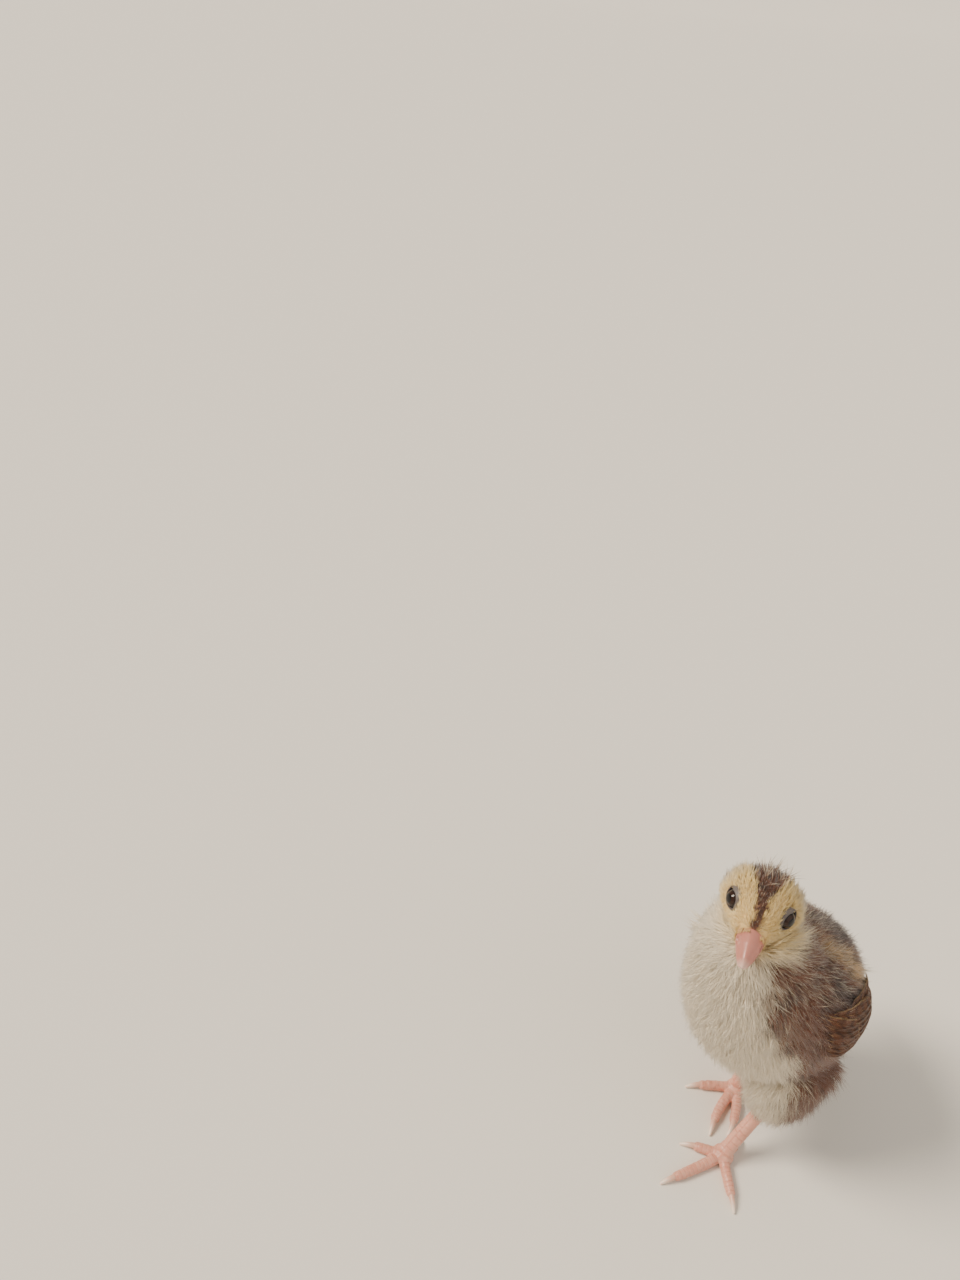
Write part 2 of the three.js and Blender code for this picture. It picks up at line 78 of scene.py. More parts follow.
# Feet. A toe's turn and bend are degrees from straight ahead towards the chick's left.
FEET = {
    "left": {
        "at": (8.8, -5.8, 0),
        "ankle": (7.6, 4.6, 15.4),
        "hip": (7.5, 5.6, 26.1),
        "toes": {
            "inner": {"turn": -43, "bend": 2, "length": 5.2},
            "middle": {"turn": 2, "bend": -3, "length": 10.6},
            "outer": {"turn": 66, "bend": 0, "length": 7.2},
            "hallux": {"turn": -172, "bend": 0, "length": 3.4},
        },
    },
    "right": {
        "at": (-0.4, 4.2, 0),
        "ankle": (-6.6, 11.2, 15.0),
        "hip": (-8.7, 8.6, 26.1),
        "toes": {
            "inner": {"turn": 60, "bend": -12, "length": 7.1},
            "middle": {"turn": 13, "bend": 12, "length": 8.8},
            "outer": {"turn": -34, "bend": 6, "length": 7.2},
            "hallux": {"turn": -155, "bend": 0, "length": 3.6},
        },
    },
}

TAU = 2 * math.pi
rng = np.random.default_rng(5306)


def vec(*values):
    return np.array(values, float)


def unit(vectors):
    return vectors / np.maximum(np.linalg.norm(vectors, axis=-1, keepdims=True), 1e-9)


def dot(a, b):
    return (a * b).sum(axis=-1)


def flatten(ways, normals):
    """Ways without the part of them that runs along the normals"""
    return ways - normals * dot(ways, normals)[..., None]


def lerp(a, b, share):
    return a + (b - a) * share


def ramp(value, low, high):
    """0 below low, 1 above high, smooth between them"""
    share = np.clip((value - low) / (high - low), 0, 1)
    return share * share * (3 - 2 * share)


def wrapped(turns):
    """Turns brought to within half a turn either way"""
    return np.angle(np.exp(1j * turns))


def bell(value, middle, width):
    """1 at the middle, falling off smoothly on both sides"""
    return np.exp(-(((value - middle) / width) ** 2))


def reached(start, *steps):
    """Places reached from start by steps, each an amount and the way that it goes"""
    return start + sum(np.multiply.outer(amount, way) for amount, way in steps)


def turned_left(degrees):
    """The chick's left, turned by so many degrees"""
    turn = math.radians(degrees)
    return vec(math.cos(turn), math.sin(turn), 0)


def ripple(points, size, seed, waves=9):
    """Smooth seeded unevenness of about -1 to 1 whose swells are about size apart"""
    draw = np.random.default_rng(seed)
    ways = unit(draw.normal(size=(waves, 3))) * TAU / (size * draw.uniform(0.75, 1.5, (waves, 1)))
    phases = draw.uniform(0, TAU, waves)
    return np.sin(points @ ways.T + phases).sum(axis=1) / math.sqrt(waves)


# Frame of the head: forward along the bill, up, and the chick's left
turned, nodded = math.radians(HEAD_TURN), math.radians(HEAD_NOD)
HEAD_FORWARD = vec(
    math.sin(turned) * math.cos(nodded), -math.cos(turned) * math.cos(nodded), math.sin(nodded)
)
HEAD_LEFT = turned_left(HEAD_TURN)
HEAD_UP = np.cross(HEAD_FORWARD, HEAD_LEFT)


def in_head(left, forward, up):
    return vec(*HEAD_CENTRE) + left * HEAD_LEFT + forward * HEAD_FORWARD + up * HEAD_UP


def from_head(points):
    """Left, forward and up of points, seen from the middle of the head"""
    arm = points - vec(*HEAD_CENTRE)
    return arm @ HEAD_LEFT, arm @ HEAD_FORWARD, arm @ HEAD_UP


def eye_centre(sign):
    return in_head(sign * EYE_APART / 2, EYE_FORWARD, EYE_UP)


def eye_outward(sign):
    facing, lift = math.radians(EYE_FACING), math.radians(EYE_LIFT)
    level = sign * math.cos(facing) * HEAD_LEFT + math.sin(facing) * HEAD_FORWARD
    return level * math.cos(lift) + HEAD_UP * math.sin(lift)


def eye_up(sign):
    return unit(np.cross(eye_outward(sign), np.cross(HEAD_UP, eye_outward(sign))))


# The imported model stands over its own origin. Its eyes say how far that is from this script's.
def eye_place(node):
    low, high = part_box(node)
    return (vec(*low) + vec(*high)) / 2


OFFSET = sum(eye_place(f"eye_{name}") / MM - eye_centre(sign) for name, sign in SIDES.items()) / 2
TO_FRAME = Matrix.Diagonal((MM, MM, MM, 1)) @ Matrix.Translation(Vector(OFFSET))


class Spline:
    """A smooth curve through points, paced by the square root of the space between them"""

    def __init__(self, points):
        inner = np.array(points, float)
        self.points = np.vstack([2 * inner[0] - inner[1], inner, 2 * inner[-1] - inner[-2]])

    def at(self, t):
        spans = len(self.points) - 3
        place = np.clip(t, 0, 1) * spans
        span = np.minimum(place.astype(int), spans - 1)
        share = (place - span)[..., None]
        a, b, c, d = (self.points[span + step] for step in range(4))
        before, within, after = (
            np.sqrt(np.maximum(np.linalg.norm(far - near, axis=-1, keepdims=True), 1e-6))
            for near, far in ((a, b), (b, c), (c, d))
        )
        leaving = ((b - a) / before - (c - a) / (before + within)) * within + (c - b)
        arriving = ((d - c) / after - (d - b) / (within + after)) * within + (c - b)
        bend = 3 * (c - b) - 2 * leaving - arriving
        twist = 2 * (b - c) + leaving + arriving
        return b + share * (leaving + share * (bend + share * twist))

    def along(self, t):
        step = 1e-3
        return unit(self.at(np.minimum(t + step, 1)) - self.at(np.maximum(t - step, 0)))


class Loft:
    """A closed form carried along a spine. Each station gives its place, its half width, and its
    height on the dorsal and on the ventral side. Both ends close in rounded caps."""

    def __init__(self, cap_length, stations, sideways=(1, 0, 0)):
        self.cap_length = cap_length
        self.sideways = vec(*sideways)
        self.spine = Spline([place for place, *_ in stations])
        self.radii = Spline([radii for _, *radii in stations])

    def point(self, t, turn, grow=0.0):
        """The point at t along the spine and turned from the left side towards the back"""
        t, turn, grow = np.broadcast_arrays(np.asarray(t, float), turn, grow)
        along = self.spine.along(t)
        side = unit(self.sideways - along * (along @ self.sideways)[..., None])
        dorsal = np.cross(along, side)
        depth = np.clip(np.minimum(t, 1 - t) / self.cap_length, 0, 1)
        cap = np.sqrt(1 - (1 - depth) ** 2)
        wide, high, low = np.moveaxis(self.radii.at(t), -1, 0)
        height = np.where(np.sin(turn) > 0, high, low) * cap + grow
        across = np.cos(turn) * (wide * cap + grow)
        ends = along * (grow * (1 - cap) * np.sign(t - 0.5))[..., None]
        beside = self.spine.at(t) + side * across[..., None]
        return beside + dorsal * (np.sin(turn) * height)[..., None] + ends


SIDEWAYS = turned_left(BACK_TURN)
BACKWARD = np.cross(vec(0, 0, 1), SIDEWAYS)

BODY = Loft(
    0.16,
    [
        ((-1.5, 4.6, 15.6), 6.0, 7.0, 6.0),
        ((-1.5, 4.7, 20.1), 11.2, 12.0, 11.2),
        ((-1.5, 4.3, 26.1), 13.8, 16.8, 14.4),
        ((-1.3, 2.7, 32.1), TORSO_HALF_WIDTH, 16.8, 15.0),
        ((-1.2, 0.1, 38.1), 13.4, 14.2, 13.9),
        ((-1.6, -2.7, 44.1), 11.1, 10.2, 11.2),
        ((-2.3, -4.4, 50.1), 8.4, 7.2, 8.0),
        ((-2.9, -4.5, 55.1), 6.4, 5.0, 5.5),
    ],
    sideways=SIDEWAYS,
)
BODY_PLACES = BODY.spine.points[1:-1]


def head_loft(cap_length, stations):
    """A loft along the head's middle, its stations placed forward and up from the head's centre"""
    placed = [(in_head(0, forward, up), *radii) for forward, up, *radii in stations]
    return Loft(cap_length, placed, sideways=HEAD_LEFT)


SKULL = head_loft(
    0.34,
    [
        (-6.0, -0.8, 5.4, 5.0, 4.8),
        (-3.2, -0.6, HEAD_HALF_WIDTH * 1.04, 6.2, 5.8),
        (-0.4, -0.4, HEAD_HALF_WIDTH, 6.4, 5.6),
        (3.0, -0.6, 4.9, 5.4, 4.6),
        (6.6, -1.2, 3.1, 2.6, 2.6),
    ],
)
BILL_UPPER = head_loft(
    0.08,
    [
        (BILL_ROOT, -0.7, BILL_WIDTH / 2, 2.0, 0.75),
        (BILL_ROOT + BILL_LENGTH * 0.45, -0.75, 1.8, 1.5, 0.7),
        (BILL_ROOT + BILL_LENGTH * 0.8, -0.95, 1.15, 0.95, 0.55),
        (BILL_ROOT + BILL_LENGTH, -1.45, 0.5, 0.4, 0.35),
    ],
)
BILL_LOWER = head_loft(
    0.1,
    [
        (BILL_ROOT, -1.8, BILL_WIDTH / 2 - 0.25, 1.2, 1.1),
        (BILL_ROOT + BILL_LENGTH * 0.4, -1.75, 1.5, 1.1, 0.8),
        (BILL_ROOT + BILL_LENGTH * 0.86, -1.85, 0.65, 0.8, 0.4),
    ],
)

TAIL_ROOT = vec(-4.9, 18.6, 28.1)
TAIL_TIP = vec(-6.7, 25.9, 24.3)
TAIL = Loft(
    0.2,
    [
        (TAIL_TIP, 1.6, 0.8, 0.8),
        (lerp(TAIL_TIP, TAIL_ROOT, 0.45), 5.0, 2.8, 2.6),
        (TAIL_ROOT, 7.0, 5.0, 4.4),
    ],
)


def thigh_hem(foot):
    return lerp(vec(*foot["ankle"]), vec(*foot["at"]), THIGH_HEM)


def thigh_loft(foot):
    hip = vec(*foot["hip"])
    hem = thigh_hem(foot)
    middle = lerp(hip, hem, 0.45)
    return Loft(0.26, [(hip, 5.6, 7.2, 8.6), (middle, 6.2, 7.4, 8.2), (hem, 3.4, 3.8, 4.0)])


def shank_loft(foot):
    top = vec(*foot["ankle"])
    bottom = vec(foot["at"][0], foot["at"][1], 1.5)
    return Loft(
        0.06,
        [
            (bottom, 1.5, 1.45, 1.4),
            (lerp(bottom, top, 0.14), SHANK_HALF_WIDTH, 1.2, 1.2),
            (lerp(bottom, top, 0.5), SHANK_HALF_WIDTH, 1.15, 1.15),
            (lerp(bottom, top, 0.85), SHANK_HALF_WIDTH * 1.05, 1.3, 1.3),
            (top, 1.45, 1.6, 1.6),
        ],
    )


def along_toe(foot, toe, distance, height):
    """A point at a distance from the foot, along the toe's turn and bend"""
    turn = math.radians(toe["turn"] + toe["bend"] * distance / toe["length"])
    return vec(*foot["at"]) + vec(math.sin(turn) * distance, -math.cos(turn) * distance, height)


def toe_loft(foot, toe):
    def station(share, wide, height):
        radius = TOE_HALF_WIDTH * wide
        place = along_toe(foot, toe, toe["length"] * share, TOE_AXIS_HEIGHT * height)
        return place, radius, radius, radius

    stations = [
        station(0.12, 1.12, 1.25),
        station(0.35, 1.02, 1),
        station(0.68, 0.96, 1),
        station(1, 0.82, 1),
    ]
    return Loft(0.12, stations, sideways=turned_left(toe["turn"]))


def claw_loft(foot, toe, length):
    def station(distance, wide, height):
        place = along_toe(foot, toe, toe["length"] - CLAW_OVERLAP + distance, height)
        return place, wide, wide * 1.15, wide * 1.05

    stations = [
        station(0, 0.5, 0.9),
        station(length / 2, 0.42, 0.72),
        station(length + 0.3, 0.2, 0.2),
    ]
    return Loft(0.06, stations, sideways=turned_left(toe["turn"]))


# Folded wing: places on it are millimetres along from the shoulder and across its middle line
GIRTH = 15
RISE = 40
WING_SHOULDER = vec(-3.0, 22.5)
WING_TIP = vec(14.5, 12.0)
WING_HALF_WIDTH = 4.8
WING_STAND = 0.9
WING_RUN = WING_TIP - WING_SHOULDER
WING_LENGTH = float(np.linalg.norm(WING_RUN))


def wing_taper(along):
    return lerp(1, 0.5, np.clip(along / WING_LENGTH, 0, 1))


def off_wing(along, across):
    """How far places are from the middle of the folded wing's oval, whose edge is at 1"""
    endways = along / WING_LENGTH * 2 - 1
    return endways**2 + (across / (WING_HALF_WIDTH * wing_taper(along))) ** 2


def wing_stand(along, across):
    """How far the folded wing's lens stands out from the body"""
    return WING_STAND * np.sqrt(np.clip(1 - off_wing(along, across), 0, 1))


def on_wing(sign, along, across, lift):
    back = WING_SHOULDER[0] + (along * WING_RUN[0] - across * WING_RUN[1]) / WING_LENGTH
    up = WING_SHOULDER[1] + (along * WING_RUN[1] + across * WING_RUN[0]) / WING_LENGTH
    turn = back / GIRTH if sign == LEFT else math.pi - back / GIRTH
    return BODY.point(up / RISE, turn, lift)


# The coat: how deep the down is over the skin
FACE_DEPTH = 0.5
CROWN_DEPTH = 1.2
NAPE_DEPTH = 1.7
BODY_DEPTH = 2.3
NECK_DEPTH = 2.0
THIGH_DEPTH = 1.7
HEM_DEPTH = 1.1
TAIL_DEPTH = 1.1


def head_depth(points):
    _, forward, up = from_head(points)
    top = ramp(forward, 4.5, 0.5) * ramp(up, 0.5, 4)
    rear = ramp(forward, -0.5, -4.5)
    cheek = ramp(up, -1.5, -4) * ramp(forward, 5, 1)
    depth = lerp(FACE_DEPTH, CROWN_DEPTH, np.maximum(top, cheek))
    return lerp(depth, NAPE_DEPTH, rear)


def ear_puff(points):
    """1 on the puffed down over the ear, behind the eye"""
    left, forward, up = from_head(points)
    near = np.exp(-(((forward + 2.4) / 1.9) ** 2) - ((up + 0.4) / 2.8) ** 2)
    return near * ramp(np.abs(left), 3, 5)


def body_depth(points):
    return lerp(BODY_DEPTH, NECK_DEPTH, ramp(points[..., 2], 42, 50))


def thigh_depth(points):
    return lerp(HEM_DEPTH, THIGH_DEPTH, ramp(points[..., 2], 10, 15))


def tail_depth(points):
    return np.full(points.shape[:-1], TAIL_DEPTH)


# How far under the folded wing's outside its flesh lies
WING_FLESH = 1.1


def body_place(points):
    """The share up the body's loft and the turn round it at which points lie"""
    shares = np.linspace(0, 1, 200)
    t = np.interp(points[:, 2], BODY.spine.at(shares)[:, 2], shares)
    arm = points - BODY.spine.at(t)
    wide, high, low = BODY.radii.at(t).T
    backward = arm @ BACKWARD
    return t, np.arctan2(backward / np.where(backward > 0, high, low), arm @ SIDEWAYS / wide)


def wing_lens(sign, t, turn, grow):
    """The folded wing's outside, from its tip to its shoulder, turned from its upper edge out"""
    endways = -np.cos(t * math.pi)
    ring = np.sin(t * math.pi)
    along = (1 - endways) * (WING_LENGTH / 2 + grow) - grow
    across = np.cos(turn) * ring * (WING_HALF_WIDTH * wing_taper(along) + grow)
    stand = np.sin(turn) * ring
    return on_wing(sign, along, across, np.where(stand > 0, stand * WING_STAND + grow, stand * 3))


# Skin: lofts shrunk by the coat's depth, melted into one surface
def shaped_ball(form, sides, rings):
    """A ball whose points are moved by form(t from pole to pole, turn round the poles)"""
    ball = bmesh.new()
    bmesh.ops.create_uvsphere(ball, u_segments=sides, v_segments=rings, radius=1)
    places = np.array([point.co for point in ball.verts])
    t = np.arccos(np.clip(-places[:, 2], -1, 1)) / math.pi
    moved = form(t, np.arctan2(places[:, 1], places[:, 0]))
    for point, place in zip(ball.verts, moved):
        point.co = place
    return ball


def wing_flesh(sign):
    return shaped_ball(lambda t, turn: wing_lens(sign, t, turn, -WING_FLESH), 40, 32)


def under_coat(loft, depth):
    def form(t, turn):
        return loft.point(t, turn, -depth(loft.point(t, turn)))

    return shaped_ball(form, 48, 40)


def joined(balls):
    whole = bmesh.new()
    for ball in balls:
        part = bpy.data.meshes.new("part")
        ball.to_mesh(part)
        whole.from_mesh(part)
        bpy.data.meshes.remove(part)
    return whole


def melted(balls, voxel, smoothing):
    """One smooth closed surface round all the balls"""
    mesh = bpy.data.meshes.new("clay")
    joined(balls).to_mesh(mesh)
    clay = bpy.data.objects.new("clay", mesh)
    bpy.context.collection.objects.link(clay)
    remesh = clay.modifiers.new("melt", "REMESH")
    remesh.mode = "VOXEL"
    remesh.voxel_size = voxel
    smooth = clay.modifiers.new("smooth", "SMOOTH")
    smooth.iterations = smoothing
    evaluated = clay.evaluated_get(bpy.context.evaluated_depsgraph_get())
    whole = bmesh.new()
    whole.from_mesh(evaluated.to_mesh())
    bpy.data.objects.remove(clay)
    bpy.data.meshes.remove(mesh)
    return whole


def places_of(shape):
    return np.array([point.co for point in shape.verts])


def move_to(shape, places):
    for point, place in zip(shape.verts, places):
        point.co = place


# A shallow dish in the skin round each eye, in which the ball and its lids lie
SOCKET_FLOOR = 1.0
SOCKET_BRIM = 1.7
SOCKET_INSIDE = 1.5
SOCKET_OUTSIDE = 2.8


def off_axis(points, sign):
    """How far points are out along the eye's axis, and how far aside of it"""
    arm = points - eye_centre(sign)
    outward = arm @ eye_outward(sign)
    return outward, np.linalg.norm(arm - np.multiply.outer(outward, eye_outward(sign)), axis=-1)


def press_sockets(shape):
    places = places_of(shape)
    for sign in SIDES.values():
        outward, aside = off_axis(places, sign)
        limit = lerp(SOCKET_FLOOR, SOCKET_BRIM, ramp(aside, SOCKET_INSIDE, SOCKET_OUTSIDE))
        dished = (aside < SOCKET_OUTSIDE) & (outward > 0)
        excess = np.where(dished, np.maximum(outward - limit, 0), 0)
        places = places - np.outer(excess, eye_outward(sign))
    move_to(shape, places)


THIGHS = {name: thigh_loft(foot) for name, foot in FEET.items()}
flesh = melted(
    [
        under_coat(BODY, body_depth),
        under_coat(SKULL, head_depth),
        under_coat(TAIL, tail_depth),
        *(under_coat(loft, thigh_depth) for loft in THIGHS.values()),
        *(wing_flesh(sign) for sign in SIDES.values()),
    ],
    voxel=0.4,
    smoothing=6,
)
press_sockets(flesh)
flesh.normal_update()
FLESH = BVHTree.FromBMesh(flesh)


def nearest_skin(points):
    """The nearest place on the skin to each point, its normal, and how far it is"""
    found = [FLESH.find_nearest(Vector(point)) for point in points]
    place = np.array([hit[0] for hit in found])
    normal = np.array([hit[1] for hit in found])
    far = np.array([hit[3] for hit in found])
    return place, normal, far


# Markings. Every pigment is a share from 0 to 1 that depends only on the place on the bird.
def azimuth(points):
    """Degrees round the body from straight ahead towards the chick's left"""
    x = np.interp(points[:, 2], BODY_PLACES[:, 2], BODY_PLACES[:, 0])
    y = np.interp(points[:, 2], BODY_PLACES[:, 2], BODY_PLACES[:, 1])
    return np.degrees(np.arctan2(points[:, 0] - x, y - points[:, 1]))


# The cream bib's edge in degrees round the body, by height, and how much wider it is on the right
BIB_HEIGHTS = [14, 23, 32, 46, 50, 55]
BIB_EDGES = [78, 73, 64, 61, 62, 74]
BIB_RIGHT = 12


def body_brown(points):
    """The brown of back and flanks, with the soft uneven edge of the cream bib"""
    around = azimuth(points)
    edge = np.interp(points[:, 2], BIB_HEIGHTS, BIB_EDGES)
    edge = edge + 6 * ripple(points, 7, 21) + 4 * ripple(points, 2.5, 22) + BIB_RIGHT * (around < 0)
    return ramp(np.abs(around) - edge, -7, 9)


def back_stripes(points):
    """Dark and buff stripes that run down the back, as shares of dark and of buff"""
    off_back = 180 - np.abs(azimuth(points)) + 3 * ripple(points, 5, 23)
    dark = ramp(off_back, 17, 11) + ramp(np.abs(off_back - 52), 12, 6)
    buff = ramp(np.abs(off_back - 28), 10, 5)
    low = ramp(points[:, 2], 50, 44)
    return np.clip(dark, 0, 1) * low, buff * low


def mottle(points):
    spots = ripple(points, 3.4, 24) + 0.6 * ripple(points, 1.6, 25)
    return ramp(spots, 0.35, 1.1)


# Half the crown stripe's width, from the nape forward to the bill
STRIPE_PLACES = [-7, -4, -1.6, 1.7, 4.1, 6.5]
STRIPE_HALVES = [3.2, 3.0, 2.3, 1.15, 0.5, 0.3]


def crown_stripe(left, forward, up, points):
    """The dark stripe from the bill over the crown to the nape"""
    half = np.interp(forward, STRIPE_PLACES, STRIPE_HALVES)
    edge = half + 0.25 * ripple(points, 1.6, 31)
    return ramp(np.abs(left) - edge, 0.35, -0.25) * ramp(up, -3.5, -1.5)


def pigments(points):
    """Shares of yellow, brown, dark and buff at places on the skin"""
    left, forward, up = from_head(points)
    off_middle = np.linalg.norm(points - vec(*HEAD_CENTRE), axis=1)
    on_head = ramp(points[:, 2], 48, 51.5) * ramp(off_middle, 11.5, 9)
    brown = body_brown(points)
    stripes, buff = back_stripes(points)
    dark = np.clip(0.75 * mottle(points) + 0.8 * stripes, 0, 1) * brown

    stripe = crown_stripe(left, forward, up, points)
    nape = ramp(forward, -2.8, -5.2)
    behind_eye = ramp(np.abs(up - 0.6 + 0.25 * (forward + 1)), 0.75, 0.35)
    behind_eye = behind_eye * ramp(forward, -1.2, -2.0)
    ear_streaks = ramp(ripple(points, 0.9, 32), 0.5, 0.9)
    ear_streaks = ear_streaks * ramp(forward, -1.0, -1.8) * ramp(up, -3, -1.5)
    streaks = 0.55 + 0.3 * ripple(points, 1.1, 33)
    head_dark = np.clip(stripe * streaks + 0.45 * behind_eye + 0.5 * ear_streaks, 0, 1)
    head_brown = np.clip(stripe + 0.9 * nape + 0.4 * behind_eye, 0, 1)
    head_yellow = ramp(up, -5.2, -1.2) * ramp(forward, -6.5, -2) * (1 - 0.8 * ear_puff(points))

    on_head = on_head * ramp(up, -5.2, -3.4)
    brown = lerp(brown, head_brown, on_head)
    dark = lerp(dark, head_dark, on_head)
    buff = lerp(buff * brown, 0, on_head)
    yellow = head_yellow * on_head
    return {"yellow": yellow, "brown": brown, "dark": dark, "buff": buff}


# Strands: thin closed three-sided hairs that taper to a point, many to a tuft. On the OFBake map
# each has a patch this wide at its root's place.
PATCH = 0.003


def strand_mesh(name, spines, half_widths, sides, flatness, attributes, uv):
    """One mesh of strands. spines is strands x rings x 3, the last ring being the tip, and
    flatness is a strand's thickness as a share of its width."""
    strands, rings = spines.shape[:2]
    along = unit(np.gradient(spines, axis=1))
    side = unit(flatten(sides[:, None, :], along))
    up = np.cross(side, along)
    corners = []
    for corner in range(3):
        angle = TAU * corner / 3 + math.pi / 2
        reach = side * math.cos(angle) + up * (flatness * math.sin(angle))
        corners.append(spines[:, :-1] + reach[:, :-1] * half_widths[:, :, None])
    body = np.stack(corners, axis=2).reshape(strands, (rings - 1) * 3, 3)
    places = np.concatenate([body, spines[:, -1:]], axis=1)
    count = places.shape[1]

    faces = [(0, 1, 2)]
    for ring in range(rings - 2):
        for corner in range(3):
            a, b = ring * 3 + corner, ring * 3 + (corner + 1) % 3
            faces += [(a, a + 3, b), (b, a + 3, b + 3)]
    last = (rings - 2) * 3
    faces += [(last + corner, count - 1, last + (corner + 1) % 3) for corner in range(3)]
    every = (np.array(faces)[None] + (np.arange(strands) * count)[:, None, None]).reshape(-1, 3)

    mesh = bpy.data.meshes.new(name)
    mesh.vertices.add(strands * count)
    mesh.vertices.foreach_set("co", ((places.reshape(-1, 3) + OFFSET) * MM).ravel())
    mesh.loops.add(every.size)
    mesh.loops.foreach_set("vertex_index", every.ravel())
    mesh.polygons.add(len(every))
    mesh.polygons.foreach_set("loop_start", np.arange(0, every.size, 3))
    mesh.polygons.foreach_set("use_smooth", np.ones(len(every), bool))
    mesh.update(calc_edges=True)

    ring_share = np.append(np.repeat(np.linspace(0, 1, rings)[:-1], 3), 1.0)
    put_attribute(mesh, "along", np.tile(ring_share, strands))
    for key, values in attributes.items():
        put_attribute(mesh, key, np.repeat(values, count))
    across = np.append(np.tile([0.0, 0.5, 1.0], rings - 1), 0.5)
    patch = np.stack([across, ring_share], axis=1) - 0.5
    places_uv = uv[:, None, :] + patch[None] * PATCH
    bake = mesh.uv_layers.new(name="OFBake")
    bake.uv.foreach_set("vector", places_uv.reshape(-1, 2)[every.ravel()].ravel())
    return mesh


def put_attribute(mesh, name, values):
    layer = mesh.attributes.new(name, "FLOAT", "POINT")
    layer.data.foreach_set("value", np.asarray(values, np.float32))


def spread_evenly(count, skip):
    """Even but irregular places in a unit square"""
    step = np.arange(count) + skip
    return np.stack([(step * 0.7548776662466927) % 1, (step * 0.5698402909980532) % 1], axis=1)


def uv_at(t, turn):
    """Where a place on a loft lies on the OFBake map"""
    return np.stack([turn / TAU % 1, t], axis=1)


def sample_loft(loft, depth, per_area, skip):
    """Places spread evenly over a loft's skin, so many to a square millimetre, as t along it and
    turn round it"""
    rows, columns = 160, 160
    t = (np.arange(rows) + 0.5) / rows
    turn = (np.arange(columns) + 0.5) / columns * TAU
    grid_t, grid_turn = np.meshgrid(t, turn, indexing="ij")
    outside = loft.point(grid_t, grid_turn)
    skin = loft.point(grid_t, grid_turn, -depth(outside))
    area = np.linalg.norm(np.cross(np.gradient(skin, axis=0), np.gradient(skin, axis=1)), axis=-1)
    count = int(area.sum() * per_area)
    draws = spread_evenly(count, skip)
    by_row = np.append(0, np.cumsum(area.sum(axis=1)))
    row_place = np.interp(draws[:, 0] * by_row[-1], by_row, np.arange(rows + 1))
    row = np.minimum(row_place.astype(int), rows - 1)
    by_column = np.cumsum(area[row], axis=1)
    target = draws[:, 1:2] * by_column[:, -1:]
    column = (by_column < target).sum(axis=1)
    before = np.where(column > 0, by_column[np.arange(count), np.maximum(column - 1, 0)], 0)
    share = (target[:, 0] - before) / area[row, np.minimum(column, columns - 1)]
    return row_place / rows, (column + share) / columns * TAU


# The down of the head lies away from this place before the face
FLOW_START = in_head(0, 8.5, -0.5)


def flow(points, normals, sinks):
    """The lie of the down: away from the bill on the head, downwards and back on the body, and
    towards any sinks"""
    from_bill = points - FLOW_START
    on_head = ramp(points[:, 2], 43, 52)[:, None]
    way = from_bill / dot(from_bill, from_bill)[:, None] * on_head
    way = way + vec(0, 0.3, -1) * 0.05 * (1 - on_head)
    for sink, pull in sinks:
        towards = sink - points
        way = way + pull * towards / dot(towards, towards)[:, None]
    for sign in SIDES.values():
        aside = points - eye_centre(sign)
        near = np.linalg.norm(aside, axis=1)
        way = way + 0.5 * aside / near[:, None] ** 3 * ramp(near, 6, 3)[:, None]
    return unit(flatten(way, normals))


# Hairs: thickness as a share of width, and the ranges in which tufts' lengths and heights and
# strands' reaches and widths vary
HAIR_FLATNESS = 0.7
LENGTHS = (0.8, 1.15)
HEIGHTS = (0.62, 1.12)
REACHES = (0.72, 1.12)
WIDTHS = (0.7, 1.25)

# How far a hair frays at most, and how much further a stray one frays
FRAY_LIMIT = 1.4
STRAY_FRAY = 1.2


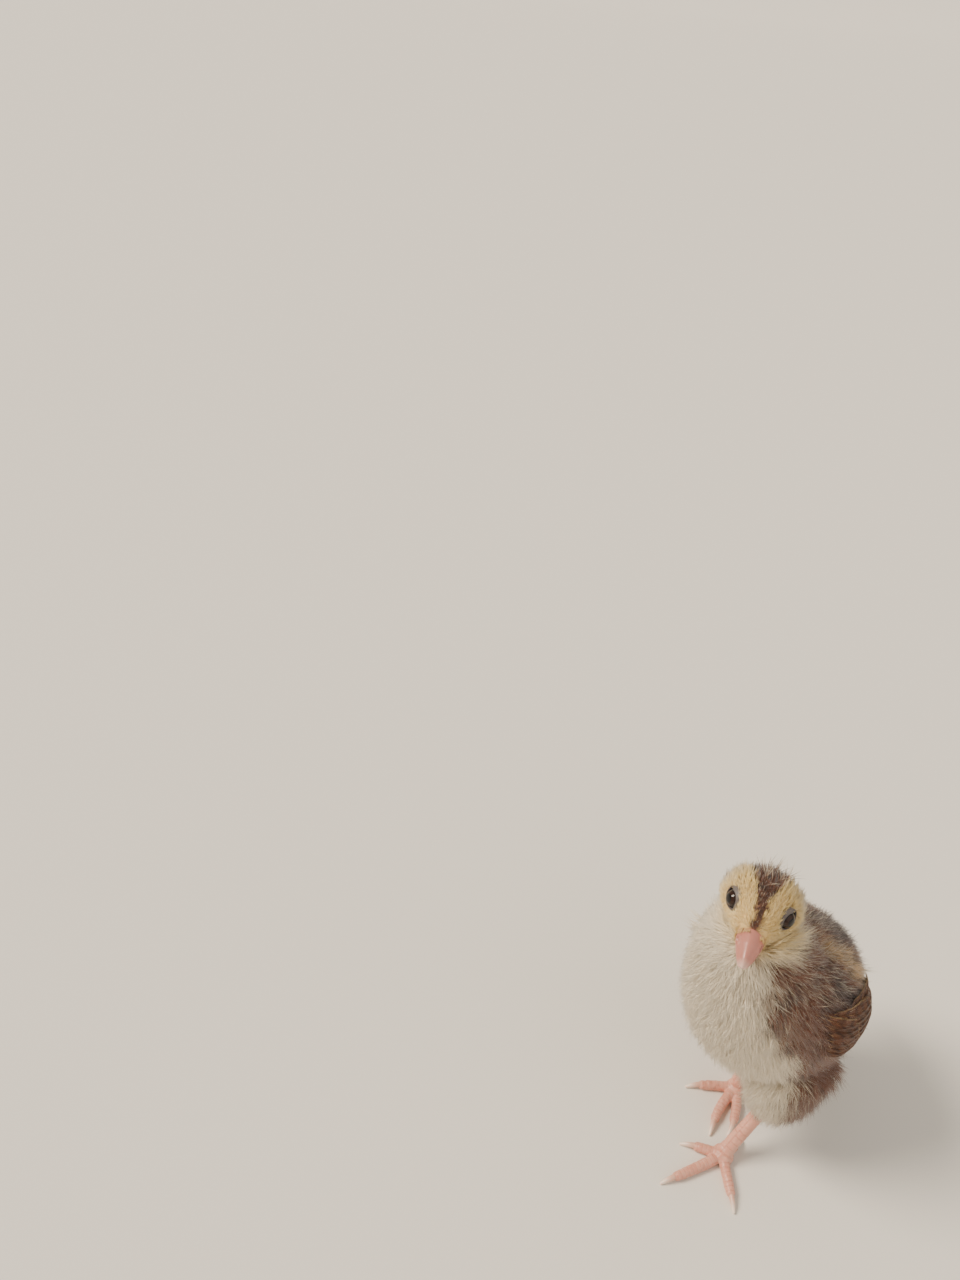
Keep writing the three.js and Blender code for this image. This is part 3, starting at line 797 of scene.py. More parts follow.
def comb(name, spots, style):
    """Tufts of down rooted at spots, as one mesh"""
    root, normal, lie = spots["root"], spots["normal"], spots["lie"]
    tufts = len(root)
    width, frost = (np.broadcast_to(spots[key], tufts) for key in ("width", "frost"))
    each = style["strands"]
    rings = style["rings"]
    sideways = np.cross(normal, lie)
    swing = rng.normal(0, style["stray"], tufts)
    lie = unit(lie * np.cos(swing)[:, None] + sideways * np.sin(swing)[:, None])
    sideways = np.cross(normal, lie)
    length = spots["length"] * rng.uniform(*LENGTHS, tufts)
    height = spots["height"] * rng.uniform(*HEIGHTS, tufts)
    run = np.sqrt(np.maximum(length**2 - height**2, 0.05))

    def per_strand(values):
        return np.repeat(values, each, axis=0)

    angle = rng.uniform(0, TAU, tufts * each)
    reach = style["spread"] * np.sqrt(rng.uniform(0, 1, tufts * each))
    aside = per_strand(lie) * (np.cos(angle) * reach)[:, None]
    aside = aside + per_strand(sideways) * (np.sin(angle) * reach)[:, None]
    vary = rng.uniform(*REACHES, tufts * each)
    stray = rng.uniform(0, 1, tufts * each) < style["loose"]
    fray = np.clip(rng.normal(0, 1, (tufts * each, 3)), -FRAY_LIMIT, FRAY_LIMIT)
    fray = fray * (style["fray"] * (1 + STRAY_FRAY * stray) * per_strand(length))[:, None]
    start = per_strand(root) + aside - per_strand(normal) * style["sink"]
    rise = per_strand(normal) * (per_strand(height) * vary)[:, None]
    forth = per_strand(lie) * (per_strand(run) * vary)[:, None]
    end = per_strand(root) + aside * (1 - style["clump"]) + rise + forth + fray
    knee = start + rise * style["arch"] + forth * 0.3 + fray * 0.15
    steps = np.linspace(0, 1, rings)[None, :, None]
    spines = (
        start[:, None] * (1 - steps) ** 2
        + knee[:, None] * 2 * steps * (1 - steps)
        + end[:, None] * steps**2
    )
    thin = np.interp(np.linspace(0, 1, rings)[:-1], [0, 0.4, 1], [0.8, 1.0, 0.35])
    width = per_strand(width) * rng.uniform(*WIDTHS, tufts * each)
    shares = {key: per_strand(values) for key, values in pigments(root).items()}
    shares["own"] = rng.uniform(0, 1, tufts * each)
    shares["frost"] = (rng.uniform(0, 1, tufts * each) < per_strand(frost)).astype(float)
    uv = per_strand(spots["uv"]) + rng.uniform(-0.5, 0.5, (tufts * each, 2)) * PATCH * 0.2
    half_widths = width[:, None] * thin[None]
    return strand_mesh(name, spines, half_widths, per_strand(sideways), HAIR_FLATNESS, shares, uv)


# Materials
def linear(colour):
    """An sRGB hex colour as the linear one that a shader takes"""
    parts = [int(colour[i : i + 2], 16) / 255 for i in (1, 3, 5)]
    parts = [part / 12.92 if part <= 0.04045 else ((part + 0.055) / 1.055) ** 2.4 for part in parts]
    return (*parts, 1.0)


def add(tree, kind, inputs=(), output=0, **settings):
    """The output of a new node. Its inputs are values, hex colours, other nodes' outputs, or
    attributes told by their names."""
    node = tree.nodes.new("ShaderNode" + kind)
    for name, value in settings.items():
        setattr(node, name, value)
    feed(tree, node, inputs)
    return node.outputs[output]


def feed(tree, node, inputs):
    for socket, value in dict(inputs).items():
        if isinstance(value, str) and value.startswith("#"):
            value = linear(value)
        elif isinstance(value, str):
            value = add(tree, "Attribute", output="Fac", attribute_name=value)
        if isinstance(value, bpy.types.NodeSocket):
            tree.links.new(value, node.inputs[socket])
        else:
            node.inputs[socket].default_value = value


def finished(name, look):
    """A material whose shader's inputs are what look gives for its node tree"""
    material = bpy.data.materials.new(name)
    material.use_nodes = True
    tree = material.node_tree
    feed(tree, tree.nodes["Principled BSDF"], look(tree))
    return material


def layered(tree, colour, *layers):
    """A colour with others laid over it, each as (share that it covers, colour). The Mix node's
    colour sockets have the same names as its others, so they are told by number."""
    for share, over in layers:
        colour = add(tree, "Mix", {0: share, 6: colour, 7: over}, 2, data_type="RGBA")
    return colour


CREAM = "#faedd3"
BUFF = "#d9b582"
TIP = "#ecdcbe"
PIGMENTS = [("yellow", "#f8da90"), ("brown", "#7b4b31"), ("buff", BUFF), ("dark", "#3a2117")]


def pale_tips(tree, low, high):
    """The share of a pale tip, which grows from low to high along a strand that has frost"""
    tip = add(tree, "MapRange", {"Value": "along", "From Min": low, "From Max": high})
    return add(tree, "Math", {0: tip, 1: "frost"}, operation="MULTIPLY")


def natal_down(tree):
    """Natal down, dry and grown in fine barbs: soft and matt, darker where strands shade their own
    roots, with the tips catching the light."""
    colour = layered(tree, CREAM, *PIGMENTS, (pale_tips(tree, 0.3, 0.85), TIP))
    depth = add(tree, "MapRange", {"Value": "along", "To Min": 0.78, "To Max": 1.05})
    own = add(tree, "MapRange", {"Value": "own", "To Min": 0.9, "To Max": 1.08})
    light = add(tree, "Math", {0: depth, 1: own}, operation="MULTIPLY")
    colour = add(tree, "HueSaturation", {"Color": colour, "Value": light})
    return {"Base Color": colour, "Roughness": 0.7, "Sheen Weight": 0.3}


def feather_vane(tree):
    """Young feather vanes: keratin barbs laid close, smoother than down and with a low satin gloss,
    barred dark on brown with worn buff edges."""
    colour = layered(tree, CREAM, *PIGMENTS, (pale_tips(tree, 0.66, 0.9), BUFF))
    own = add(tree, "MapRange", {"Value": "own", "To Min": 0.82, "To Max": 1.1})
    return {
        "Base Color": add(tree, "HueSaturation", {"Color": colour, "Value": own}),
        "Roughness": 0.48,
    }


def downy_skin(tree):
    """Thin living skin under the down: it shows the down's own colours, pinker where the flesh
    shows through and darkened by painted shade from the coat over it.
    """
    # The pink layer is flesh; the dark brown layer is painted shade under the down.
    colour = layered(tree, CREAM, *PIGMENTS, (0.2, "#c98f78"), (0.2, "#5a4030"))
    return {"Base Color": colour, "Roughness": 0.6}


def studio_paper(tree):
    """Matt seamless paper: an even pale surface with the faintest tooth. The noise counts its scale
    over the whole sheet of 28 m, so its swells are about 30 mm apart."""
    tooth = add(tree, "TexNoise", {"Scale": 900.0, "Detail": 3.0})
    relief = {"Height": tooth, "Strength": 0.04, "Distance": 0.2 * MM}
    return {"Base Color": "#e6e1d8", "Normal": add(tree, "Bump", relief), "Roughness": 0.9}


def scaled_leg_skin(tree):
    """Scaled leg skin, thin and moist over pink flesh: satin scutes with duller, deeper pink
    between them. Its blotches are 2.2 mm apart and its fine grain 0.15 mm."""
    place = add(tree, "TexCoord", output="Object")
    blotch = add(tree, "TexNoise", {"Vector": place, "Scale": 1 / (2.2222 * MM), "Detail": 2.0})
    grain = add(tree, "TexNoise", {"Vector": place, "Scale": 1 / (0.15 * MM), "Detail": 2.0})
    relief = {"Height": grain, "Strength": 0.25, "Distance": 0.03 * MM}
    return {
        "Base Color": layered(tree, "#c98570", (blotch, "#e2b09b"), ("groove", "#c58874")),
        "Normal": add(tree, "Bump", relief),
        "Roughness": 0.36,
        "Subsurface Weight": 0.25,
        "Subsurface Scale": 0.6 * MM,
        "Subsurface Radius": (1.0, 0.35, 0.25),
    }


def horn(root, tip, groove, roughness):
    """Grown horn over flesh: smooth and satin, its colour paling from root to tip, with faint
    unevenness of growth 0.4 mm across. On the claws the pale tip is their own colour; on the
    bill it is partly pale horn and partly a painted highlight."""

    def look(tree):
        place = add(tree, "TexCoord", output="Object")
        growth = add(tree, "TexNoise", {"Vector": place, "Scale": 1 / (0.4 * MM), "Detail": 3.0})
        uneven = add(tree, "MapRange", {"Value": growth, "To Min": 0.93, "To Max": 1.05})
        # groove: on the bill it marks the nostril slits, and its colour there is painted shade
        # inside them; the claws have none.
        colour = layered(tree, root, ("tip", tip), ("groove", groove))
        relief = {"Height": growth, "Strength": 0.15, "Distance": 0.03 * MM}
        return {
            "Base Color": add(tree, "HueSaturation", {"Color": colour, "Value": uneven}),
            "Normal": add(tree, "Bump", relief),
            "Roughness": roughness,
            "IOR": 1.54,
            "Subsurface Weight": 0.12,
            "Subsurface Scale": 0.4 * MM,
        }

    return look


def wet_eye(tree):
    """A wet living eye: a black pupil in a dark brown iris under the clear, glossy cornea."""
    iris = add(tree, "MapRange", {"Value": "off_pupil", "From Min": 0.7, "From Max": 0.8})
    rim = add(tree, "MapRange", {"Value": "off_pupil", "From Min": 1.1, "From Max": 1.25})
    colour = layered(tree, "#040303", (iris, "#2b170e"), (rim, "#0d0a0a"))
    return {"Base Color": colour, "Roughness": 0.06, "IOR": 1.376}


def eyelid_skin(tree):
    """Bare eyelid skin: thin, dry and finely folded, slate grey with a darker moist rim."""
    place = add(tree, "TexCoord", output="Object")
    folds = add(tree, "TexNoise", {"Vector": place, "Scale": 1 / (0.3 * MM), "Detail": 3.0})
    relief = {"Height": folds, "Strength": 0.4, "Distance": 0.05 * MM}
    return {
        "Base Color": layered(tree, "#4f4846", (folds, "#6e6562"), ("rim", "#3f3636")),
        "Normal": add(tree, "Bump", relief),
        "Roughness": 0.5,
    }


SKIN = finished("downy_skin", downy_skin)
DOWN = finished("natal_down", natal_down)
VANE = finished("feather_vane", feather_vane)
LEG = finished("scaled_leg_skin", scaled_leg_skin)
CLAW_HORN = finished("claw_horn", horn("#d9ab95", "#efdccb", "#b98b78", 0.35))
# The bill's darkest colour is painted shade inside the nostril slits; its pale tip colour is partly
# pale horn and partly a painted highlight.
BILL_HORN = finished("bill_horn", horn("#b67769", "#e2c6b6", "#5e2b25", 0.3))
EYE = finished("wet_eye", wet_eye)
LID = finished("eyelid_skin", eyelid_skin)


def show(name, mesh, material, nodes):
    """A finished piece that stands for CAD nodes"""
    piece = bpy.data.objects.new(name, mesh)
    mesh.materials.append(material)
    bpy.context.collection.objects.link(piece)
    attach(piece, "root")
    if nodes:
        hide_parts(*nodes)
    return piece


def show_shape(name, shape, attributes, material, nodes):
    """A finished piece from a bmesh in millimetres, with attributes by name"""
    bmesh.ops.transform(shape, matrix=TO_FRAME, verts=shape.verts)
    mesh = bpy.data.meshes.new(name)
    shape.to_mesh(mesh)
    mesh.shade_smooth()
    for key, values in attributes.items():
        put_attribute(mesh, key, values)
    return show(name, mesh, material, nodes)


def finish_skin():
    nodes = ["torso", "neck", "head", "tail"]
    nodes += [f"{part}_{side}" for part in ("wing", "thigh") for side in SIDES]
    show_shape("skin", flesh, pigments(places_of(flesh)), SKIN, nodes)


# Legs: one skin over shank, pad and toes, raised into scutes
SHANK_SCUTE = 1.25
TOE_SCUTE = 0.78
SCUTE_RISE = 0.055
GROOVE_WIDTH = 0.12
LEG_FULLNESS = 0.05
PAD_RADIUS = 1.9
PAD_MIDDLE = 1.05
PAD_HALF_HEIGHT = 1.25
HALLUX_CLAW = 0.8
GROOVE_DEPTH = 0.04
LEG_UNEVENNESS = 0.03


def pad_ball(foot):
    def form(t, turn):
        ring = PAD_RADIUS * np.sin(t * math.pi)
        up = PAD_MIDDLE - PAD_HALF_HEIGHT * np.cos(t * math.pi)
        return vec(*foot["at"]) + np.stack([ring * np.cos(turn), ring * np.sin(turn), up], axis=-1)

    return shaped_ball(form, 32, 24)


def on_spine(points, loft):
    """How far points are from a loft's spine, as a share of its radius, their millimetres along
    it and their turn round it"""
    shares = np.linspace(0, 1, 90)
    spine = loft.spine.at(shares)
    gaps = np.linalg.norm(points[:, None] - spine[None], axis=2)
    nearest = gaps.argmin(axis=1)
    along = loft.spine.along(shares)[nearest]
    side = unit(loft.sideways - along * (along @ loft.sideways)[:, None])
    arm = points - spine[nearest]
    turn = np.arctan2(dot(arm, np.cross(along, side)), dot(arm, side))
    run = np.append(0, np.cumsum(np.linalg.norm(np.diff(spine, axis=0), axis=1)))[nearest]
    radius = loft.radii.at(shares)[nearest].mean(axis=1)
    return gaps.min(axis=1) / radius, run, turn


def scutes(run, off_middle, length, rows, edge):
    """Rise and groove of overlapping scutes in rows, each raised towards its free edge"""
    column = (off_middle > 0) if rows == 2 else np.zeros(len(run))
    phase = (run / length + 0.5 * column) % 1
    phase = phase if edge > 0 else 1 - phase
    facing = np.clip(np.cos(off_middle), 0, 1) ** 0.5
    groove = ramp(np.minimum(phase, 1 - phase) * length, GROOVE_WIDTH, 0.02)
    if rows == 2:
        groove = np.maximum(groove, ramp(np.abs(off_middle), 0.14, 0.03))
    return SCUTE_RISE * (phase - 0.5) * facing, groove * facing


def full_ball(loft):
    return shaped_ball(lambda t, turn: loft.point(t, turn, LEG_FULLNESS), 24, 40)


def above_floor(heights):
    """Heights eased off so that the soles lie on the floor and not in it"""
    return 0.5 * (heights + np.sqrt(heights**2 + 0.01)) + 0.01


def finish_leg(name, foot):
    toes = [toe_loft(foot, toe) for toe in foot["toes"].values()]
    shank = shank_loft(foot)
    balls = [*(full_ball(loft) for loft in (shank, *toes)), pad_ball(foot)]
    leg = melted(balls, voxel=0.12, smoothing=4)
    leg.normal_update()
    places = places_of(leg)
    normals = np.array([point.normal for point in leg.verts])
    best = np.full(len(places), np.inf)
    rise, groove = np.zeros(len(places)), np.zeros(len(places))
    for loft in [shank, *toes]:
        off, run, turn = on_spine(places, loft)
        if loft is shank:
            lift, line = scutes(run, wrapped(turn + math.pi / 2), SHANK_SCUTE, 2, -1)
        else:
            lift, line = scutes(run, turn - math.pi / 2, TOE_SCUTE, 1, 1)
        nearer = off < best
        best = np.where(nearer, off, best)
        rise = np.where(nearer, lift, rise)
        groove = np.where(nearer, line, groove)
    rise = rise - GROOVE_DEPTH * groove + LEG_UNEVENNESS * ripple(places, 0.8, 41)
    places = places + normals * rise[:, None]
    places[:, 2] = above_floor(places[:, 2])
    move_to(leg, places)
    nodes = [f"shank_{name}", *(f"toe_{name}_{toe}" for toe in foot["toes"])]
    show_shape(f"leg_skin_{name}", leg, {"groove": groove}, LEG, nodes)


def finish_claws(name, foot):
    claws = []
    tips = []
    for toe_name, toe in foot["toes"].items():
        loft = claw_loft(foot, toe, CLAW_LENGTH * (HALLUX_CLAW if toe_name == "hallux" else 1))

        def form(t, turn):
            outside = loft.point(t, turn)
            outside[..., 2] = np.maximum(outside[..., 2], 0.02)
            tips.append(t)
            return outside

        claws.append(shaped_ball(form, 20, 28))
    share = ramp(np.concatenate(tips), 0.2, 0.9)
    nodes = [f"claw_{name}_{toe}" for toe in foot["toes"]]
    attributes = {"tip": share, "groove": np.zeros(len(share))}
    show_shape(f"claws_{name}", joined(claws), attributes, CLAW_HORN, nodes)


# Bill: two mandibles with a ridged top, a rolled cutting edge and slit nostrils
NOSTRIL = {"forward": 2.2, "up": -0.25, "length": 0.7, "height": 0.28, "depth": 0.45}


def off_nostril(points, sign):
    """1 on the nostril's edge and less inside it, and how far above its middle line"""
    left, forward, up = from_head(points)
    forth = forward - BILL_ROOT - NOSTRIL["forward"]
    rise = up - NOSTRIL["up"] + 0.18 * forth
    off = np.hypot(forth / NOSTRIL["length"], rise / NOSTRIL["height"])
    return np.where(left * sign > 0, off, 9), rise


def finish_bill():
    def upper(t, turn):
        off_ridge = turn - math.pi / 2
        ridge = bell(off_ridge, 0, 0.3)
        shoulder = bell(np.abs(off_ridge), 0.75, 0.3)
        lip = bell(np.sin(turn), -0.12, 0.16)
        outside = BILL_UPPER.point(t, turn, 0.14 * ridge - 0.09 * shoulder + 0.05 * lip)
        for sign in SIDES.values():
            off, rise = off_nostril(outside, sign)
            inward = -sign * HEAD_LEFT * 0.9 - HEAD_UP * 0.3
            flap = ramp(off, 1.9, 1.2) * ramp(off, 0.8, 1.15) * ramp(rise, -0.05, 0.15)
            push = NOSTRIL["depth"] * ramp(off, 1.05, 0.5) - 0.1 * flap
            outside = outside + inward * push[..., None]
        return outside

    def lower(t, turn):
        return BILL_LOWER.point(t, turn, -0.03)

    pieces = {"bill_upper": shaped_ball(upper, 72, 96), "bill_lower": shaped_ball(lower, 48, 48)}
    for name, shape in pieces.items():
        places = places_of(shape)
        _, forward, _ = from_head(places)
        # The pale tip is partly the bill's own pale horn and partly a painted highlight along it.
        tip = ramp(forward, BILL_ROOT + 0.8 * BILL_LENGTH, BILL_ROOT + 1.1 * BILL_LENGTH)
        # The nostril slits get the groove colour, which is painted shade inside them.
        slit = np.minimum(off_nostril(places, LEFT)[0], off_nostril(places, RIGHT)[0])
        groove = ramp(slit, 1.05, 0.7) if name == "bill_upper" else np.zeros(len(places))
        show_shape(name, shape, {"tip": tip, "groove": groove}, BILL_HORN, [name])


# Eyes: a ball with a domed cornea, held by rolled lids
CORNEA_RISE = 0.26


def at_eye(sign, across, up, outward):
    """A place seen from one eye: across it towards the bill, up, and out of the head"""
    out = eye_outward(sign)
    high = eye_up(sign)
    level = np.cross(out, high) * sign
    return reached(eye_centre(sign), (across, level), (up, high), (outward, out))


def finish_eye(name, sign):
    def form(t, turn):
        off = math.pi * (1 - t)
        radius = EYE_RADIUS + CORNEA_RISE * ramp(off, 0.8, 0.2)
        ring = np.sin(off) * radius
        return at_eye(sign, np.cos(turn) * ring * -sign, np.sin(turn) * ring, np.cos(off) * radius)

    ball = shaped_ball(form, 48, 40)
    outward, aside = off_axis(places_of(ball), sign)
    off_pupil = np.where(outward > 0, aside, EYE_RADIUS)
    show_shape(f"eye_{name}", ball, {"off_pupil": off_pupil}, EYE, [f"eye_{name}"])


# The lid's section, from its inner rim over the top and back under, as radius and outward
LID_SECTION = [
    (1.26, 1.5), (1.29, 1.66), (1.4, 1.7), (1.55, 1.62), (1.7, 1.48), (1.85, 1.28),
    (2.0, 1.05), (1.95, 0.85), (1.7, 0.8), (1.4, 1.2),
]
LID_FOLD = 0.02
LID_FOLD_WIDTH = 0.3

# The corners of the eye, behind and in front: their turn, how far they draw out, and their width
EYE_CORNERS = [(math.radians(150), 0.32, 0.36), (math.radians(-25), 0.14, 0.34)]


def finish_lids(name, sign):
    """A ring of lid skin that hugs the ball, its opening drawn out into two corners"""
    ring = bmesh.new()
    points = [ring.verts.new((radius, 0, outward)) for radius, outward in LID_SECTION]
    edges = [ring.edges.new((points[i - 1], point)) for i, point in enumerate(points)]
    around = {"cent": (0, 0, 0), "axis": (0, 0, 1), "angle": TAU, "steps": 72}
    bmesh.ops.spin(ring, geom=points + edges, use_merge=True, use_duplicate=False, **around)
    bmesh.ops.remove_doubles(ring, verts=ring.verts, dist=1e-4)
    bmesh.ops.subdivide_edges(ring, edges=ring.edges, cuts=1, use_grid_fill=True)
    every_axis = {f"use_axis_{axis}": True for axis in "xyz"}
    bmesh.ops.smooth_vert(ring, verts=ring.verts, factor=0.5, **every_axis)
    places = places_of(ring)
    turn = np.arctan2(places[:, 1], places[:, 0])
    radius = np.hypot(places[:, 0], places[:, 1])
    outer = ramp(radius, 1.35, 1.95)
    stretch = np.ones(len(places))
    for corner, amount, width in EYE_CORNERS:
        stretch += amount * bell(wrapped(turn - corner), 0, width) * (1 - outer)
    folds = LID_FOLD * np.sin(radius * TAU / LID_FOLD_WIDTH) * outer
    outward = places[:, 2] - 0.9 * (stretch - 1) + folds
    move_to(ring, at_eye(sign, places[:, 0] * stretch, places[:, 1] * stretch, outward))
    bmesh.ops.recalc_face_normals(ring, faces=ring.faces)
    show_shape(f"lids_{name}", ring, {"rim": ramp(radius, 1.5, 1.33)}, LID, [])


# The coat, region by region. A tuft has so many strands of so many rings, rooted within the spread
# and sunk under the skin. Spread and sink are millimetres and stray is radians. The others are
# shares: of a tuft's length, of its strands, or of the way in to its middle or up to its height.
STYLE_KEYS = ("strands", "rings", "spread", "stray", "fray", "loose", "clump", "arch", "sink")
STYLE = {
    name: dict(zip(STYLE_KEYS, style))
    for name, style in {
        "body": (6, 3, 0.55, 0.3, 0.07, 0.08, 0.2, 0.95, 0.3),
        "face": (8, 3, 0.3, 0.14, 0.045, 0.03, 0.2, 0.8, 0.1),
        "wisp": (4, 4, 0.22, 0.5, 0.08, 0.3, 0.7, 0.9, 0.3),
    }.items()
}

# Tufts to a square millimetre of skin, how near the melted skin must lie to its loft for a tuft,
# and how far from the front of the eye its lids reach
DENSITY = {"body": 5.2, "thigh": 5.0, "tail": 3.4, "wisp": 0.22, "head": 7.5, "crest": 1.6}
SKIN_NEAR = 0.9
LIDS_REACH = 1.38


def rooted(loft, depth, per_area, sinks, keep, look, skip):
    """Spots for tufts on one loft's skin, where keep allows them and the melted skin is near"""
    t, turn = sample_loft(loft, depth, per_area, skip)
    outside = loft.point(t, turn)
    thick = depth(outside)
    place, normal, far = nearest_skin(loft.point(t, turn, -thick))
    kept = keep(outside) & (far < SKIN_NEAR)
    spots = {
        "root": place[kept],
        "normal": normal[kept],
        "uv": uv_at(t, turn)[kept],
        "height": thick[kept],
    }
    spots["lie"] = flow(spots["root"], spots["normal"], sinks)
    spots.update(look(outside[kept]))
    return spots


def show_coat(name, spots, style):
    show(name, comb(name, spots, STYLE[style]), DOWN, [])


def body_look(points):
    belly = ramp(points[:, 2], 28, 20)
    neck = ramp(points[:, 2], 41, 48)
    return {
        "length": lerp(4.2, 5.2, belly) - 0.8 * neck,
        "height": body_depth(points) * lerp(1, 0.75, neck),
        "width": 0.05,
        "frost": body_brown(points) * lerp(0.02, 0.2, neck),
    }


def off_eye(points):
    """Millimetres from the front of the nearer eye"""
    fronts = [eye_centre(sign) + eye_outward(sign) * EYE_RADIUS for sign in SIDES.values()]
    return np.minimum(*(np.linalg.norm(points - front, axis=1) for front in fronts))


def head_look(points):
    left, forward, up = from_head(points)
    rear = ramp(forward, 1.5, -4)
    chin = ramp(up, -2.5, -5) * ramp(forward, 5, 1)
    ear = ear_puff(points)
    near_eye = ramp(off_eye(points), 3.2, 1.4)
    length = (1.1 + 1.7 * rear + 1.2 * chin + 1.3 * ear) * lerp(1, 0.5, near_eye)
    height = (0.8 * head_depth(points) + 0.75 * ear) * lerp(1, 0.45, near_eye)
    stripe = crown_stripe(left, forward, up, points)
    frost = 0.12 + 0.4 * ear - 0.08 * stripe
    return {"length": length, "height": height, "width": lerp(0.034, 0.05, rear), "frost": frost}


def crest_look(points):
    return {"length": 4.2, "height": 2.2, "width": 0.05, "frost": 0.6}


def wisp_look(points):
    return {"length": 5.0, "height": 2.4, "width": 0.045, "frost": 0.12 * body_brown(points)}


def thigh_look(points):
    return {"length": lerp(3.2, 4.6, ramp(points[:, 2], 10, 18)), "width": 0.062, "frost": 0.05}


def tail_look(points):
    return {"length": 4.5, "width": 0.06, "frost": 0.2}


# Tufts over the root of each half of the bill, and the share of its length that they cover
BRISTLE_TUFTS = 130
BRISTLE_ROOTS = 0.07


def off_bill(points):
    left, forward, up = from_head(points)
    return ~((forward > BILL_ROOT + 0.1) & (np.abs(left) < BILL_WIDTH / 2) & (up < 1.5) & (up > -3))


def round_bill(loft, count):
    """Spots for the short down that runs forward over the bill's root"""
    t = rng.uniform(0, BRISTLE_ROOTS, count)
    turn = rng.uniform(0, TAU, count)
    root = loft.point(t, turn)
    arm = root - loft.spine.at(t)
    normal = unit(arm - np.outer(arm @ HEAD_FORWARD, HEAD_FORWARD))
    off_ridge = np.abs(np.sin(turn - math.pi / 2))
    return {
        "root": root,
        "normal": normal,
        "lie": np.tile(HEAD_FORWARD, (count, 1)),
        "uv": uv_at(t, turn),
        "length": 0.8 + 0.5 * off_ridge,
        "height": 0.28,
        "width": 0.03,
        "frost": 0.1,
    }


def on_crown(points):
    left, forward, up = from_head(points)
    return (up > 3) & (forward > -4) & (forward < 0.4) & (left > -1.5) & (left < 3.2)


def whole(points):
    return np.ones(len(points), bool)


TAIL_SINK = [(TAIL_TIP, 1.0)]


def grow_body():
    regions = {
        "coat_neck": lambda p: (p[:, 2] > 44),
        "coat_breast": lambda p: (p[:, 2] <= 44) & (p[:, 2] > 30) & (np.abs(azimuth(p)) < 75),
        "coat_belly": lambda p: (p[:, 2] <= 30) & (np.abs(azimuth(p)) < 75),
        "coat_flank_left": lambda p: (p[:, 2] <= 44) & (azimuth(p) >= 75) & (azimuth(p) < 140),
        "coat_flank_right": lambda p: (p[:, 2] <= 44) & (azimuth(p) <= -75) & (azimuth(p) > -140),
        "coat_back": lambda p: (p[:, 2] <= 44) & (np.abs(azimuth(p)) >= 140),
    }
    for number, (name, keep) in enumerate(regions.items()):
        spots = rooted(BODY, body_depth, DENSITY["body"], TAIL_SINK, keep, body_look, 1000 * number)
        show_coat(name, spots, "body")
    for name, loft in THIGHS.items():
        sinks = [(thigh_hem(FEET[name]) - vec(0, 0, 4), 3.0)]
        spots = rooted(loft, thigh_depth, DENSITY["thigh"], sinks, whole, thigh_look, 55)
        show_coat(f"coat_thigh_{name}", spots, "body")
    spots = rooted(
        BODY, body_depth, DENSITY["wisp"], TAIL_SINK, lambda p: p[:, 2] > 17, wisp_look, 88
    )
    show_coat("coat_wisps", spots, "wisp")
    sinks = [(TAIL_TIP * 2 - TAIL_ROOT, 3.0)]
    spots = rooted(TAIL, tail_depth, DENSITY["tail"], sinks, whole, tail_look, 66)
    show_coat("coat_tail", spots, "body")


def grow_head():
    def bare(points):
        return (off_eye(points) > LIDS_REACH) & off_bill(points)

    regions = {
        "coat_face": lambda p: bare(p) & (from_head(p)[1] > 0),
        "coat_nape": lambda p: bare(p) & (from_head(p)[1] <= 0),
    }
    for number, (name, keep) in enumerate(regions.items()):
        spots = rooted(SKULL, head_depth, DENSITY["head"], TAIL_SINK, keep, head_look, 77 + number)
        show_coat(name, spots, "face")
    for name, loft in (("upper", BILL_UPPER), ("lower", BILL_LOWER)):
        show_coat(f"coat_bill_{name}", round_bill(loft, BRISTLE_TUFTS), "face")
    spots = rooted(SKULL, head_depth, DENSITY["crest"], TAIL_SINK, on_crown, crest_look, 99)
    show_coat("coat_crest", spots, "wisp")


# Feathers: a shaft with flattened barbs on both sides, shorter towards the tip
BARB_GAP = 0.13
BARB_WIDTH = 0.075
BARB_SWEEP = 1.5
BARB_FLATNESS = 0.2
BAR_GAP = 1.7
SHAFT_WIDTH = 0.07
CAMBER = 0.16


def feather(place, length, half_width):
    """Spines, half widths, sides, dark bars and tone of one feather. The shaft is last and its bar
    is -1. place turns millimetres along the shaft, aside of it and above it into a point."""
    count = int(length / BARB_GAP)
    root = np.tile((np.arange(count) + 0.5) / count, 2)
    hand = np.repeat([-1.0, 1.0], count)
    outline = np.sqrt(np.sin(np.pi * lerp(0.12, 0.9, root)))
    reach = half_width * outline * rng.uniform(0.86, 1.06, 2 * count)
    steps = np.linspace(0, 1, 4)[None]
    along = (root * length)[:, None] + reach[:, None] * BARB_SWEEP * steps**1.3
    aside = (hand * reach)[:, None] * steps
    spines = place(along, aside, CAMBER * (1 - steps**2) + rng.normal(0, 0.008, (2 * count, 1)))
    shaft = np.linspace(0, 1, 4)[None] * length
    spines = np.concatenate([spines, place(shaft, shaft * 0, shaft * 0 + CAMBER + 0.03)])
    widths = np.tile([BARB_WIDTH, BARB_WIDTH, BARB_WIDTH * 0.7], (2 * count + 1, 1))
    widths[-1] = [SHAFT_WIDTH, SHAFT_WIDTH * 0.8, SHAFT_WIDTH * 0.5]
    start = spines[:, 0]
    onward = place(along[:, :1] + 0.2, aside[:, :1], CAMBER * np.ones_like(along[:, :1]))[:, 0]
    sides = unit(onward - start[:-1])
    shaft_way = spines[-1:, -1] - spines[-1:, 0]
    sides = np.concatenate([sides, unit(np.cross(shaft_way, sides[:1]) + 1e-3)])
    phase = rng.uniform(0, TAU)
    waves = np.sin(root * length * TAU / BAR_GAP + phase)
    bars = ramp(waves + rng.normal(0, 0.12, 2 * count), -0.2, 0.9)
    tone = np.full(2 * count + 1, rng.uniform(0, 1))
    return spines, widths, sides, np.append(bars, -1), tone


